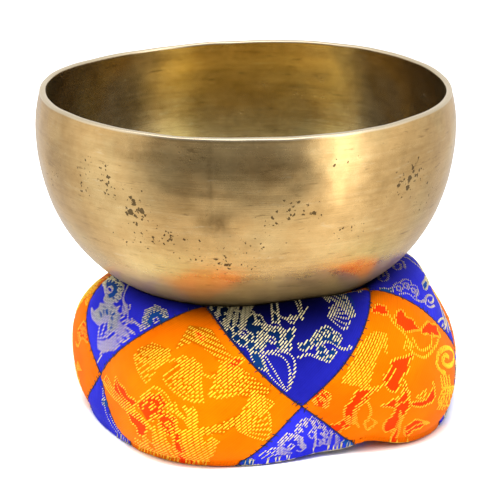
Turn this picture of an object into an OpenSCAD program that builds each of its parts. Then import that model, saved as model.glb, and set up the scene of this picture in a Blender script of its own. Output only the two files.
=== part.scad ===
// Hand-hammered singing bowl that stands loose on a stuffed ring cushion.
// Millimetres, +Z up. The origin is on the floor at the centre of the whole
// object's outline, and the front of the object faces -Y.

/* [Bowl] */
// Widest outside diameter of the bowl
bowl_d = 140; // [130:1:150]
// Height of the bowl from its flat base to its rim
bowl_h = 67.4; // [64:0.2:72]
// Height above the base at which the bowl is widest
bowl_belly = 56; // [52:1:58]
// How far the wall leans in from its widest part to the rim, per side
rim_lean = 1.5; // [0.4:0.1:2]
// Radius of the slightly flattened base
base_r = 24; // [20:1:26]
// Thickness of the metal
wall = 2.2; // [1.8:0.1:3]
// Height of the bowl's base above the floor when it rests on the cushion
bowl_z = 43; // [42:0.5:46]

/* [Ring cushion] */
// Radius of the circle through the middle of the stuffed ring
ring_r = 46; // [44:0.5:48]
// Half the width of the stuffed ring
ring_half = 20; // [18:0.5:21]
// Height of the ring's widest line, where the corners of the diamonds meet
ring_mid = 19; // [17:0.5:21]
// Height of the ring's crown before the bowl presses on it
ring_top = 48; // [46:0.5:55]
// How much taller the ring is on its right and lower on its left, in percent
ring_tilt = 5; // [0:0.5:8]
// How far the ring's left side is squashed in
ring_press = 3.5; // [0:0.5:5]
// How far the ring's axis lies to the right of the bowl's axis
ring_shift = 6.6; // [0:0.2:8]
// How far each stuffed diamond puffs out, and its corners pull in
puff = 2.8; // [0:0.2:3]

/* [Patchwork] */
// Number of diamonds round the ring in each row
rows_n = 5; // [5:1:5]
// Turn of the first outer diamond from the front, in degrees
first_turn = -25; // [-36:1:36]
// Thickness of the brocade with its backing
cloth_t = 1.2; // [0.8:0.1:1.4]
// Thickness of the sewing thread
thread_d = 0.5; // [0.4:0.1:0.6]

/* [Hidden] */
$fn = 96;

bowl_x = -0.7;                  // bowl axis, which centres the whole outline on the origin
ring_x = bowl_x + ring_shift; // ring axis
rest_gap = 0.3;               // room between the cushion's crown and the metal
seam_keep = 0.982;            // share of a diamond that its patch covers, the rest is the seam
cells = 11;                   // grid steps along a patch's edge
pitch = 360 / rows_n;
brass = [0.79, 0.65, 0.42];
orange = [1.0, 0.52, 0.02];
blue = [0.16, 0.16, 0.78];

// ---- bowl profile -------------------------------------------------------
function bez(a, b, c, d, t) = pow(1 - t, 3) * a + 3 * t * pow(1 - t, 2) * b + 3 * t * t * (1 - t) * c + pow(t, 3) * d;
outer_r = bowl_d / 2;
// base, belly curve and lean to the rim, all as [radius, height above the base]
function belly(i) = bez([base_r, 0], [base_r + 26, 0], [outer_r, bowl_belly - 32], [outer_r, bowl_belly], i);
function lean(i) = bez([outer_r, bowl_belly], [outer_r, bowl_belly + 4], [outer_r - rim_lean * 0.55, bowl_h - 4],
                       [outer_r - rim_lean, bowl_h - 0.7], i);
function belly_in(i) = bez([base_r - 1, wall], [base_r + 24.4, wall], [outer_r - wall, bowl_belly - 30.5],
                           [outer_r - wall, bowl_belly], i);
function lean_in(i) = bez([outer_r - wall, bowl_belly], [outer_r - wall, bowl_belly + 4],
                          [outer_r - wall - rim_lean * 0.55, bowl_h - 4], [outer_r - wall - rim_lean, bowl_h - 0.7], i);
outer_curve = concat([for (i = [0 : 24]) belly(i / 24)], [for (i = [1 : 6]) lean(i / 6)]);
inner_curve = concat([for (i = [0 : 24]) belly_in(i / 24)], [for (i = [1 : 6]) lean_in(i / 6)]);
lip = [[outer_r - rim_lean - 0.25, bowl_h - 0.15], [outer_r - rim_lean - 0.7, bowl_h],
       [outer_r - rim_lean - wall + 0.7, bowl_h], [outer_r - rim_lean - wall + 0.25, bowl_h - 0.15]];

module bowl() {
    color(brass)
    translate([bowl_x, 0, bowl_z])
    rotate_extrude()
    polygon(concat([[0, 0]], outer_curve, lip, [for (i = [len(inner_curve) - 1 : -1 : 0]) inner_curve[i]], [[0, wall]]));
}

// height of the metal's outside above the floor at a distance q from the bowl's axis
under_curve = concat([[0, 0]], [for (i = [0 : 24]) belly(i / 24)]);
function under_bowl(q) = bowl_z + (q > outer_r - 0.5 ? 100 : lookup(q, under_curve));

// ---- ring cushion -------------------------------------------------------
// section of the ring at ellipse angle t (0 outside, 90 crown, 180 inside, 270 floor), d below the cloth's face
function sgnpow(v, e) = sign(v) * pow(abs(v), e);
function section(t, d) = sin(t) >= 0
    ? [(ring_half - d) * cos(t), ring_mid + (ring_top - ring_mid - d) * sin(t)]
    : [(ring_half - d) * sgnpow(cos(t), 0.36), max(d, ring_mid - (ring_mid + 2 - d) * pow(-sin(t), 0.8))];
// angle for a share of each quarter's length, so that the diamonds' edges run straight over the cloth
step_t = 5;
function quarter(q) = [for (i = [0 : 18]) section(90 * q + step_t * i, 0)];
function run(p, i) = i == 0 ? 0 : norm(p[i] - p[i - 1]) + run(p, i - 1);
function shares(q) = let(p = quarter(q), l = run(p, 18)) [for (i = [0 : 18]) [run(p, i) / l, 90 * q + step_t * i]];
share_table = [shares(0), shares(1), shares(2), shares(3)];
function wrap(s) = s - 4 * floor(s / 4);
function angle_at(s) = let(w = wrap(s), q = min(3, floor(w))) lookup(w - q, share_table[q]);
// the puff of each diamond, with its corners pulled in
function bulge(a, s) = puff * cos(rows_n * (a - first_turn))
    * (0.25 + 0.2 * cos(90 * s) - 0.3 * sin(90 * s) + 0.55 * cos(180 * s));
// a point of the cushion: a is the turn from the front (-Y) towards +X, s the quarters round the section
function ring_point(a, s, d) =
    let(p = section(angle_at(s), d), b = bulge(a, s), w = wrap(s),
        n = [cos(90 * s), sin(90 * s)],
        r = ring_r + p[0] + b * n[0] - ring_press * pow(max(0, -sin(a)), 2),
        z0 = (p[1] + (w < 2 ? b * max(0, n[1]) : 0)) * (1 + ring_tilt / 100 * sin(a)),
        x = ring_x + r * sin(a), y = -r * cos(a),
        top = under_bowl(norm([x - bowl_x, y])) - rest_gap - d)
    [x, y, min(z0, top)];

// one diamond of brocade, as a thin closed shell that follows the ring
module patch(a0, s0) {
    n = cells;
    side = [for (layer = [0, 1]) for (i = [0 : n]) for (j = [0 : n])
        let(u = (2 * i / n - 1) * seam_keep, v = (2 * j / n - 1) * seam_keep)
        ring_point(a0 + pitch / 2 * (u - v) / 2, s0 + (u + v) / 2, layer * cloth_t)];
    m = (n + 1) * (n + 1);
    function at(i, j) = i * (n + 1) + j;
    faces = concat(
        [for (i = [0 : n - 1]) for (j = [0 : n - 1]) each [[at(i, j), at(i, j + 1), at(i + 1, j)], [at(i, j + 1), at(i + 1, j + 1), at(i + 1, j)]]],
        [for (i = [0 : n - 1]) for (j = [0 : n - 1]) each [[m + at(i, j), m + at(i + 1, j), m + at(i, j + 1)], [m + at(i, j + 1), m + at(i + 1, j), m + at(i + 1, j + 1)]]],
        [for (i = [0 : n - 1]) each [[at(i, 0), at(i + 1, 0), m + at(i + 1, 0)], [at(i, 0), m + at(i + 1, 0), m + at(i, 0)],
                                     [at(i + 1, n), at(i, n), m + at(i, n)], [at(i + 1, n), m + at(i, n), m + at(i + 1, n)],
                                     [at(0, i + 1), at(0, i), m + at(0, i)], [at(0, i + 1), m + at(0, i), m + at(0, i + 1)],
                                     [at(n, i), at(n, i + 1), m + at(n, i + 1)], [at(n, i), m + at(n, i + 1), m + at(n, i)]]]);
    polyhedron(points = side, faces = faces, convexity = 6);
}
module outer_patch(k) { color(orange) patch(first_turn + pitch * k, 0); }
module top_patch(k) { color(blue) patch(first_turn + pitch * (k + 0.5), 1); }
module inner_patch(k) { color(orange) patch(first_turn + pitch * k, 2); }
module bottom_patch(k) { color(blue) patch(first_turn + pitch * (k + 0.5), 3); }

// the packed fibre inside the cloth
module ring_stuffing() {
    na = 66;
    ns = 48;
    d = cloth_t + 0.9;
    pts = [for (i = [0 : na - 1]) for (j = [0 : ns - 1]) ring_point(360 * i / na, 4 * j / ns, d)];
    function at(i, j) = (i % na) * ns + (j % ns);
    color([0.93, 0.9, 0.84])
    polyhedron(points = pts, convexity = 8, faces = [for (i = [0 : na - 1]) for (j = [0 : ns - 1])
        each [[at(i, j), at(i, j + 1), at(i + 1, j + 1)], [at(i, j), at(i + 1, j + 1), at(i + 1, j)]]]);
}

// one run of thread along a seam, from a corner (a0, s0) to the corner half a pitch on and one quarter up or down
module seam(a0, s0, up) {
    n = cells;
    e = thread_d / 2;
    function c(f) = ring_point(a0 + pitch / 2 * f, s0 + up * f, 0.65);
    path = [for (i = [0 : n]) c(0.03 + 0.94 * i / n)];
    ring = [for (i = [0 : n])
        let(t = path[min(n, i + 1)] - path[max(0, i - 1)], tn = t / norm(t),
            x0 = cross(tn, [0.31, 0.42, 0.85]), x = x0 / norm(x0), y = cross(tn, x))
        for (q = [0 : 3]) path[i] + e * (cos(90 * q) * x + sin(90 * q) * y)];
    polyhedron(points = ring, convexity = 4, faces = concat(
        [for (i = [0 : n - 1]) for (q = [0 : 3]) let(r = (q + 1) % 4)
            each [[4 * i + q, 4 * (i + 1) + r, 4 * i + r], [4 * i + q, 4 * (i + 1) + q, 4 * (i + 1) + r]]],
        [[0, 1, 2], [0, 2, 3]], [[4 * n + 2, 4 * n + 1, 4 * n], [4 * n + 3, 4 * n + 2, 4 * n]]));
}
module seam_thread() {
    color([0.12, 0.1, 0.16])
    for (k = [0 : rows_n - 1]) for (s = [-1 : 2])
        let(a = first_turn + pitch * (k + (s % 2 == 0 ? 0.5 : 0))) {
            seam(a, s, 1);
            seam(a - pitch / 2, s + 1, -1);
        }
}

bowl();
ring_stuffing();
outer_patch(0);  // outer_patch_1
outer_patch(1);  // outer_patch_2
outer_patch(2);  // outer_patch_3
outer_patch(3);  // outer_patch_4
outer_patch(4);  // outer_patch_5
top_patch(0);  // top_patch_1
top_patch(1);  // top_patch_2
top_patch(2);  // top_patch_3
top_patch(3);  // top_patch_4
top_patch(4);  // top_patch_5
inner_patch(0);  // inner_patch_1
inner_patch(1);  // inner_patch_2
inner_patch(2);  // inner_patch_3
inner_patch(3);  // inner_patch_4
inner_patch(4);  // inner_patch_5
bottom_patch(0);  // bottom_patch_1
bottom_patch(1);  // bottom_patch_2
bottom_patch(2);  // bottom_patch_3
bottom_patch(3);  // bottom_patch_4
bottom_patch(4);  // bottom_patch_5
seam_thread();
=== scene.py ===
"""Looks of a hammered singing bowl on a stuffed patchwork ring cushion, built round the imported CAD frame."""
import bpy
import math
import numpy as np
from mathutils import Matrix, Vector


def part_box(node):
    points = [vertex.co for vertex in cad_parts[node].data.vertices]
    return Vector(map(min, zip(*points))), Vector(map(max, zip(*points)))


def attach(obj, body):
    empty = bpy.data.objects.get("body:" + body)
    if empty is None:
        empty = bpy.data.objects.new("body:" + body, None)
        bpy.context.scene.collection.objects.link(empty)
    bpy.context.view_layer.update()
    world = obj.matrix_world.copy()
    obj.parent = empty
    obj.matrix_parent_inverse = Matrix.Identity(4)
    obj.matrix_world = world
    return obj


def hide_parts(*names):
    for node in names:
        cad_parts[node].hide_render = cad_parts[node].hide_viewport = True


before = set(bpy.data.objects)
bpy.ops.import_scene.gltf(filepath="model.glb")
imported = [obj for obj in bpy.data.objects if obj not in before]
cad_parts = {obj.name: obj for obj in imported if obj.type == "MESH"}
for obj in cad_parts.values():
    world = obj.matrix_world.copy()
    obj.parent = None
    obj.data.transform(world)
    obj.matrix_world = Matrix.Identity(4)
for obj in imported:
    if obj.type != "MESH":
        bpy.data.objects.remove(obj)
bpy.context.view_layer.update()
MM = 0.001

# ------------------------------------------------------------------ sizes, from the frame
b_lo, b_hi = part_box("bowl")
BX, BZ, BH = (b_lo.x + b_hi.x) / 2 / MM, b_lo.z / MM, (b_hi.z - b_lo.z) / MM
BR = (b_hi.x - b_lo.x) / 2 / MM
RX = BX + 6.6          # ring axis
RING_R, HALF, MID, TOP = 46.0, 20.0, 19.0, 48.0
TILT, PRESS = 0.05, 3.5
PUFF, TURN, NROW = 2.8, -25.0, 5
PITCH = 360.0 / NROW
BELLY = 56.0 / 67.4 * BH
rng = np.random.default_rng(11)


def bez(p, t):
    p = np.array(p, float)
    t = np.asarray(t, float)[:, None]
    return (1 - t) ** 3 * p[0] + 3 * t * (1 - t) ** 2 * p[1] + 3 * t * t * (1 - t) * p[2] + t ** 3 * p[3]


# ------------------------------------------------------------------ bowl profile, the CAD's own curve
OUT_BELLY = bez([(24, 0), (50, 0), (BR, BELLY - 32), (BR, BELLY)], np.linspace(0, 1, 400))


def under_bowl(q):
    """Height of the metal's outside at a distance q from the bowl's axis, mm above the floor."""
    r = np.concatenate([[0], OUT_BELLY[:, 0]])
    z = np.concatenate([[0], OUT_BELLY[:, 1]])
    return np.where(q > BR - 0.5, 1e3, BZ + np.interp(q, r, z))


# ------------------------------------------------------------------ smooth noise on a periodic or open grid
def hash3(ix, iy, iz, seed):
    h = (ix * 374761393 + iy * 668265263 + iz * 2147483647 + seed * 1274126177) & 0xFFFFFFFF
    h = ((h ^ (h >> 13)) * 1274126177) & 0xFFFFFFFF
    return ((h ^ (h >> 16)) & 0xFFFF) / 65535.0


def noise3(p, seed=0):
    """Smooth value noise at points p (n, 3), from -1 to 1."""
    i = np.floor(p).astype(np.int64)
    f = p - i
    f = f * f * f * (f * (f * 6 - 15) + 10)
    out = 0
    for dx in (0, 1):
        for dy in (0, 1):
            for dz in (0, 1):
                w = ((f[:, 0] if dx else 1 - f[:, 0]) * (f[:, 1] if dy else 1 - f[:, 1]) * (f[:, 2] if dz else 1 - f[:, 2]))
                out = out + w * hash3(i[:, 0] + dx, i[:, 1] + dy, i[:, 2] + dz, seed)
    return out * 2 - 1


def smooth(x, a, b):
    t = np.clip((x - a) / (b - a), 0, 1)
    return t * t * (3 - 2 * t)


# ------------------------------------------------------------------ mesh helper
def make(name, verts, faces, mats, face_mat=None, attrs=None, uv=None, smooth_shade=True):
    """A mesh object from millimetre vertices. faces is a list of arrays of one face size each."""
    me = bpy.data.meshes.new(name)
    verts = np.asarray(verts, float) * MM
    sizes = [len(f) * [f.shape[1]] for f in faces if len(f)]
    loops = np.concatenate([f.ravel() for f in faces if len(f)]).astype(np.int32)
    counts = np.concatenate([np.array(s, np.int32) for s in sizes])
    me.vertices.add(len(verts))
    me.vertices.foreach_set("co", verts.astype(np.float32).ravel())
    me.loops.add(len(loops))
    me.loops.foreach_set("vertex_index", loops)
    me.polygons.add(len(counts))
    me.polygons.foreach_set("loop_start", np.concatenate([[0], np.cumsum(counts)[:-1]]).astype(np.int32))
    me.polygons.foreach_set("loop_total", counts)
    for m in mats:
        me.materials.append(m)
    if face_mat is not None:
        me.polygons.foreach_set("material_index", np.asarray(face_mat, np.int32))
    me.polygons.foreach_set("use_smooth", np.full(len(counts), smooth_shade))
    me.update()
    for k, (domain, data) in (attrs or {}).items():
        data = np.asarray(data, np.float32)
        if data.ndim == 2:
            a = me.color_attributes.new(k, "FLOAT_COLOR", domain)
            if data.shape[1] == 3:
                data = np.concatenate([data, np.ones((len(data), 1), np.float32)], 1)
            a.data.foreach_set("color", data.ravel())
        else:
            a = me.attributes.new(k, "FLOAT", domain)
            a.data.foreach_set("value", data.ravel())
    if uv is not None:
        layer = me.uv_layers.new(name="cloth")
        layer.data.foreach_set("uv", np.asarray(uv, np.float32)[loops].ravel())
    me.validate(clean_customdata=False)
    ob = bpy.data.objects.new(name, me)
    bpy.context.scene.collection.objects.link(ob)
    return ob


# ------------------------------------------------------------------ material helpers
def new_mat(name):
    m = bpy.data.materials.new(name)
    m.use_nodes = True
    nt = m.node_tree
    p = next(n for n in nt.nodes if n.type == "BSDF_PRINCIPLED")
    return m, nt, p


def node(nt, kind, **kw):
    n = nt.nodes.new(kind)
    for k, v in kw.items():
        if k == "inputs":
            for i, val in v.items():
                n.inputs[i].default_value = val
        else:
            setattr(n, k, v)
    return n


def link(nt, a, b):
    nt.links.new(a, b)


def ramp(nt, fac, stops, interp="LINEAR"):
    r = nt.nodes.new("ShaderNodeValToRGB")
    r.color_ramp.interpolation = interp
    e = r.color_ramp.elements
    while len(e) > 1:
        e.remove(e[-1])
    e[0].position, e[0].color = stops[0][0], (*stops[0][1], 1)
    for pos, col in stops[1:]:
        x = e.new(pos)
        x.color = (*col, 1)
    link(nt, fac, r.inputs["Fac"])
    return r.outputs["Color"]


def mix(nt, fac, a, b, blend="MIX"):
    m = nt.nodes.new("ShaderNodeMix")
    m.data_type, m.blend_type = "RGBA", blend
    for sock, v in ((m.inputs["Factor"], fac), (m.inputs["A"], a), (m.inputs["B"], b)):
        pass
    ins = {s.identifier: s for s in m.inputs}
    for ident, v in (("Factor_Float", fac), ("A_Color", a), ("B_Color", b)):
        if isinstance(v, bpy.types.NodeSocket):
            link(nt, v, ins[ident])
        elif ident == "Factor_Float":
            ins[ident].default_value = v
        else:
            ins[ident].default_value = (*v, 1)
    return next(s for s in m.outputs if s.identifier == "Result_Color")


def math_node(nt, op, a, b=None, clamp=False):
    m = nt.nodes.new("ShaderNodeMath")
    m.operation, m.use_clamp = op, clamp
    for i, v in enumerate((a, b)):
        if v is None:
            continue
        if isinstance(v, bpy.types.NodeSocket):
            link(nt, v, m.inputs[i])
        else:
            m.inputs[i].default_value = v
    return m.outputs[0]


def srgb(h):
    c = [int(h[i:i + 2], 16) / 255 for i in (0, 2, 4)]
    return tuple(x / 12.92 if x <= 0.04045 else ((x + 0.055) / 1.055) ** 2.4 for x in c)


def mapped(nt, scale, offset=(0, 0, 0)):
    tc = nt.nodes.new("ShaderNodeTexCoord")
    mp = nt.nodes.new("ShaderNodeMapping")
    mp.inputs["Scale"].default_value = scale
    mp.inputs["Location"].default_value = offset
    link(nt, tc.outputs["Object"], mp.inputs["Vector"])
    return mp.outputs["Vector"]


def noise(nt, vec, scale, detail=3.0, rough=0.5):
    n = node(nt, "ShaderNodeTexNoise", inputs={"Scale": scale, "Detail": detail, "Roughness": rough})
    link(nt, vec, n.inputs["Vector"])
    return n.outputs["Fac"]


# ================================================================== BOWL
def bowl_profile():
    """Closed profile as (radius, height above base, side), from the axis outside round to the axis inside."""
    inner_belly = bez([(23, 2.2), (48.4, 2.2), (BR - 2.2, BELLY - 30.5), (BR - 2.2, BELLY)], np.linspace(0, 1, 74))
    outer_belly = bez([(24, 0), (50, 0), (BR, BELLY - 32), (BR, BELLY)], np.linspace(0, 1, 84))
    top = BH - 1.0
    o_lean = bez([(BR, BELLY), (BR, BELLY + 4), (BR - 0.8, BH - 4), (BR - 1.5, top)], np.linspace(0, 1, 16))[1:]
    i_lean = bez([(BR - 2.2, BELLY), (BR - 2.2, BELLY + 4), (BR - 3.0, BH - 4), (BR - 3.7, top)], np.linspace(0, 1, 16))[1:]
    cx, hw = BR - 2.6, 1.1
    a = np.linspace(0, np.pi, 11)[1:-1]
    e = 0.55
    lip = np.stack([cx + hw * np.sign(np.cos(a)) * np.abs(np.cos(a)) ** e, top + 1.0 * np.sin(a) ** e], 1)
    base_o = np.stack([np.linspace(0, 24, 14)[1:-1], np.zeros(12)], 1)
    base_i = np.stack([np.linspace(0, 23, 14)[1:-1], np.full(12, 2.2)], 1)
    prof = np.concatenate([base_o, outer_belly, o_lean, lip, i_lean[::-1], inner_belly[::-1], base_i[::-1]])
    side = np.concatenate([np.zeros(len(base_o) + len(outer_belly) + len(o_lean)), np.full(len(lip), 0.5),
                           np.ones(len(i_lean) + len(inner_belly) + len(base_i))])
    return prof, side


NT = 400
prof, side = bowl_profile()
NP_ = len(prof)
ang = np.linspace(0, 2 * np.pi, NT, endpoint=False)   # 0 at the front (-Y), towards +X
A, K = np.meshgrid(ang, np.arange(NP_), indexing="ij")
r0, z0, sd = prof[K, 0], prof[K, 1], side[K]
dn = np.gradient(prof, axis=0)
dn /= np.linalg.norm(dn, axis=1)[:, None] + 1e-9
nr, nz = dn[:, 1][K], -dn[:, 0][K]                    # outward normal of the profile
flat = np.stack([np.sin(A) * 70, -np.cos(A) * 70, z0], -1).reshape(-1, 3)


def wob(scale, seed, zs=1.0):
    return noise3(flat / np.array([scale, scale, scale / zs]) + 31.7, seed).reshape(A.shape)


# hand-hammered dents: shallow flats in rows, the same on both faces of the metal
dent = np.zeros_like(A)
zone = np.zeros_like(A)
hr = np.random.default_rng(5)
for ring_i, zc in enumerate(np.arange(8, 64, 6.2)):
    n = 30 if zc > 30 else 24
    for j in range(n):
        a_c = 2 * np.pi * (j + 0.5 * (ring_i % 2) + hr.uniform(-0.35, 0.35)) / n
        z_c = zc + hr.uniform(-2.4, 2.4)
        rad = hr.uniform(4.2, 7.0)
        dep = hr.uniform(0.03, 0.13)
        da = (A - a_c + np.pi) % (2 * np.pi) - np.pi
        d2 = (da * np.maximum(r0, 20)) ** 2 + ((z0 - z_c) * 1.0) ** 2
        dent += -dep * np.exp(-(d2 / (rad * rad)) ** 2)
base_fade = smooth(r0, 12, 30)
thick = np.where(sd > 0.75, -1.0, 1.0)
warp = 0.24 * wob(46, 3) + 0.14 * wob(19, 4) + 0.05 * wob(8, 6, 2)
move = (dent * 0.75 + warp + 0.05) * base_fade
# the same in-out move on both faces keeps the wall's thickness; small scale differs
r1 = r0 + move * np.abs(nr)
z1 = z0 - move * 0
z1 = z1 + np.where(sd == 0, 0, 0) + (move * nz * thick * 0.4) * base_fade
z1 = np.maximum(z1, np.where(sd > 0.75, 0.9, 0.0))
# fine surface grain: shallow turning rings and pits, each face on its own
fine = 0.012 * np.sin(z0 * 2 * np.pi / 1.7 + 3 * wob(30, 8)) * smooth(r0, 30, 50) + 0.014 * wob(3.2, 9, 1.4)
r1 = r1 + fine * nr
# the rim isn't level: it dips at the far left and rises a little at the right
up = smooth(z0, 30, BH)
dip = -1.45 * np.exp(-((((A - np.radians(-146) + np.pi) % (2 * np.pi)) - np.pi) / 0.50) ** 2)
dip += -0.25 * np.exp(-((((A - np.radians(-20) + np.pi) % (2 * np.pi)) - np.pi) / 0.5) ** 2)
dip += 0.55 * np.exp(-((((A - np.radians(140) + np.pi) % (2 * np.pi)) - np.pi) / 0.42) ** 2)
rimw = 0.10 * np.sin(7 * A + 1.0) + 0.07 * np.sin(13 * A + 2.0) + 0.05 * np.sin(23 * A)
z1 = z1 + up * (dip + rimw * 0.8 + 0.2 + 0.65 * smooth(-np.cos(A), -0.2, 0.7))
X = BX + r1 * np.sin(A)
Y = -r1 * np.cos(A)
Z = BZ + np.maximum(z1, 0)
bowl_v = np.stack([X, Y, Z], -1).reshape(-1, 3)
poles = np.array([[BX, 0, BZ], [BX, 0, BZ + 2.2]])
ii, kk = np.meshgrid(np.arange(NT), np.arange(NP_ - 1), indexing="ij")
i2 = (ii + 1) % NT
quads = np.stack([ii * NP_ + kk, i2 * NP_ + kk, i2 * NP_ + kk + 1, ii * NP_ + kk + 1], -1).reshape(-1, 4)
n0 = NT * NP_
t_i = np.arange(NT)
t_n = (t_i + 1) % NT
cap0 = np.stack([np.full(NT, n0), t_n * NP_, t_i * NP_], -1)
cap1 = np.stack([np.full(NT, n0 + 1), t_i * NP_ + NP_ - 1, t_n * NP_ + NP_ - 1], -1)

# ---- colour masks of the metal, placed one by one as (turn from the front in degrees, height, size, strength)
deg = (np.degrees(A) + 180) % 360 - 180


def spot(a, z, ra, rz, s=1.0, p=2.0):
    """A soft blot ra degrees wide and rz mm high, on the outside."""
    d = (deg - a + 180) % 360 - 180
    return s * np.exp(-(((d / ra) ** 2 + ((z0 - z) / rz) ** 2) ** (p / 2)))


outside = (sd < 0.25).astype(float)
dark = np.zeros_like(A)
for a, z, ra, rz, s in [(-7.6, 40, 4.2, 3.2, 1.0), (-4, 33, 13, 5, 0.35), (-9.2, 56, 0.75, 11, 1.0), (-12, 49.5, 8, 0.9, 0.8),
                        (-10, 61, 16, 5, 0.35), (-24, 30, 9, 7, 0.30), (8, 26, 16, 6, 0.25), (38, 47, 7, 9, 0.45), (46, 55, 6, 6, 0.35),
                        (-62, 52, 8, 8, 0.3), (20, 54, 12, 8, 0.40), (-2, 54, 12, 7, 0.35), (-38, 44, 9, 6, 0.30), (62, 36, 9, 10, 0.3),
                        (-31, 62, 9, 4, 0.45), (120, 40, 14, 9, 0.4), (165, 30, 12, 8, 0.5), (-120, 36, 13, 9, 0.4), (-160, 50, 9, 8, 0.35)]:
    dark += spot(a, z, ra, rz, s)
dark = dark * outside
pits = np.zeros_like(A)
for a, z, ra, rz, s in [(-31, 44, 3.6, 4.5, 1.0), (-39, 50, 3, 5, 0.9), (-29, 39, 4, 3, 0.9), (-50, 46, 4, 4, 0.6), (-33, 31, 8, 3, 0.7),
                        (-20, 33, 7, 3, 0.75), (11.6, 46, 5, 2.5, 1.0), (8, 41, 6, 2.5, 0.9), (18, 43, 4, 3, 0.6), (-4, 25, 7, 3, 0.85),
                        (-14, 27, 6, 3, 0.7), (51, 50, 4, 5, 0.9), (46, 47, 5, 4, 0.8), (30, 35, 6, 4, 0.5), (-47, 54, 5, 4, 0.5),
                        (26, 58, 5, 3, 0.5), (-14, 61, 8, 3, 0.4), (60, 40, 6, 6, 0.55), (-66, 44, 6, 6, 0.5), (3, 33, 8, 3, 0.5),
                        (95, 30, 9, 6, 0.8), (140, 48, 8, 5, 0.9), (-100, 46, 8, 6, 0.8), (-150, 28, 8, 5, 0.8), (178, 55, 7, 4, 0.7)]:
    pits += spot(a, z, ra, rz, s)
pits = np.clip(pits, 0, 1) * outside + 0.15
lower = smooth(z0, 24, 5) * outside


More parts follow.
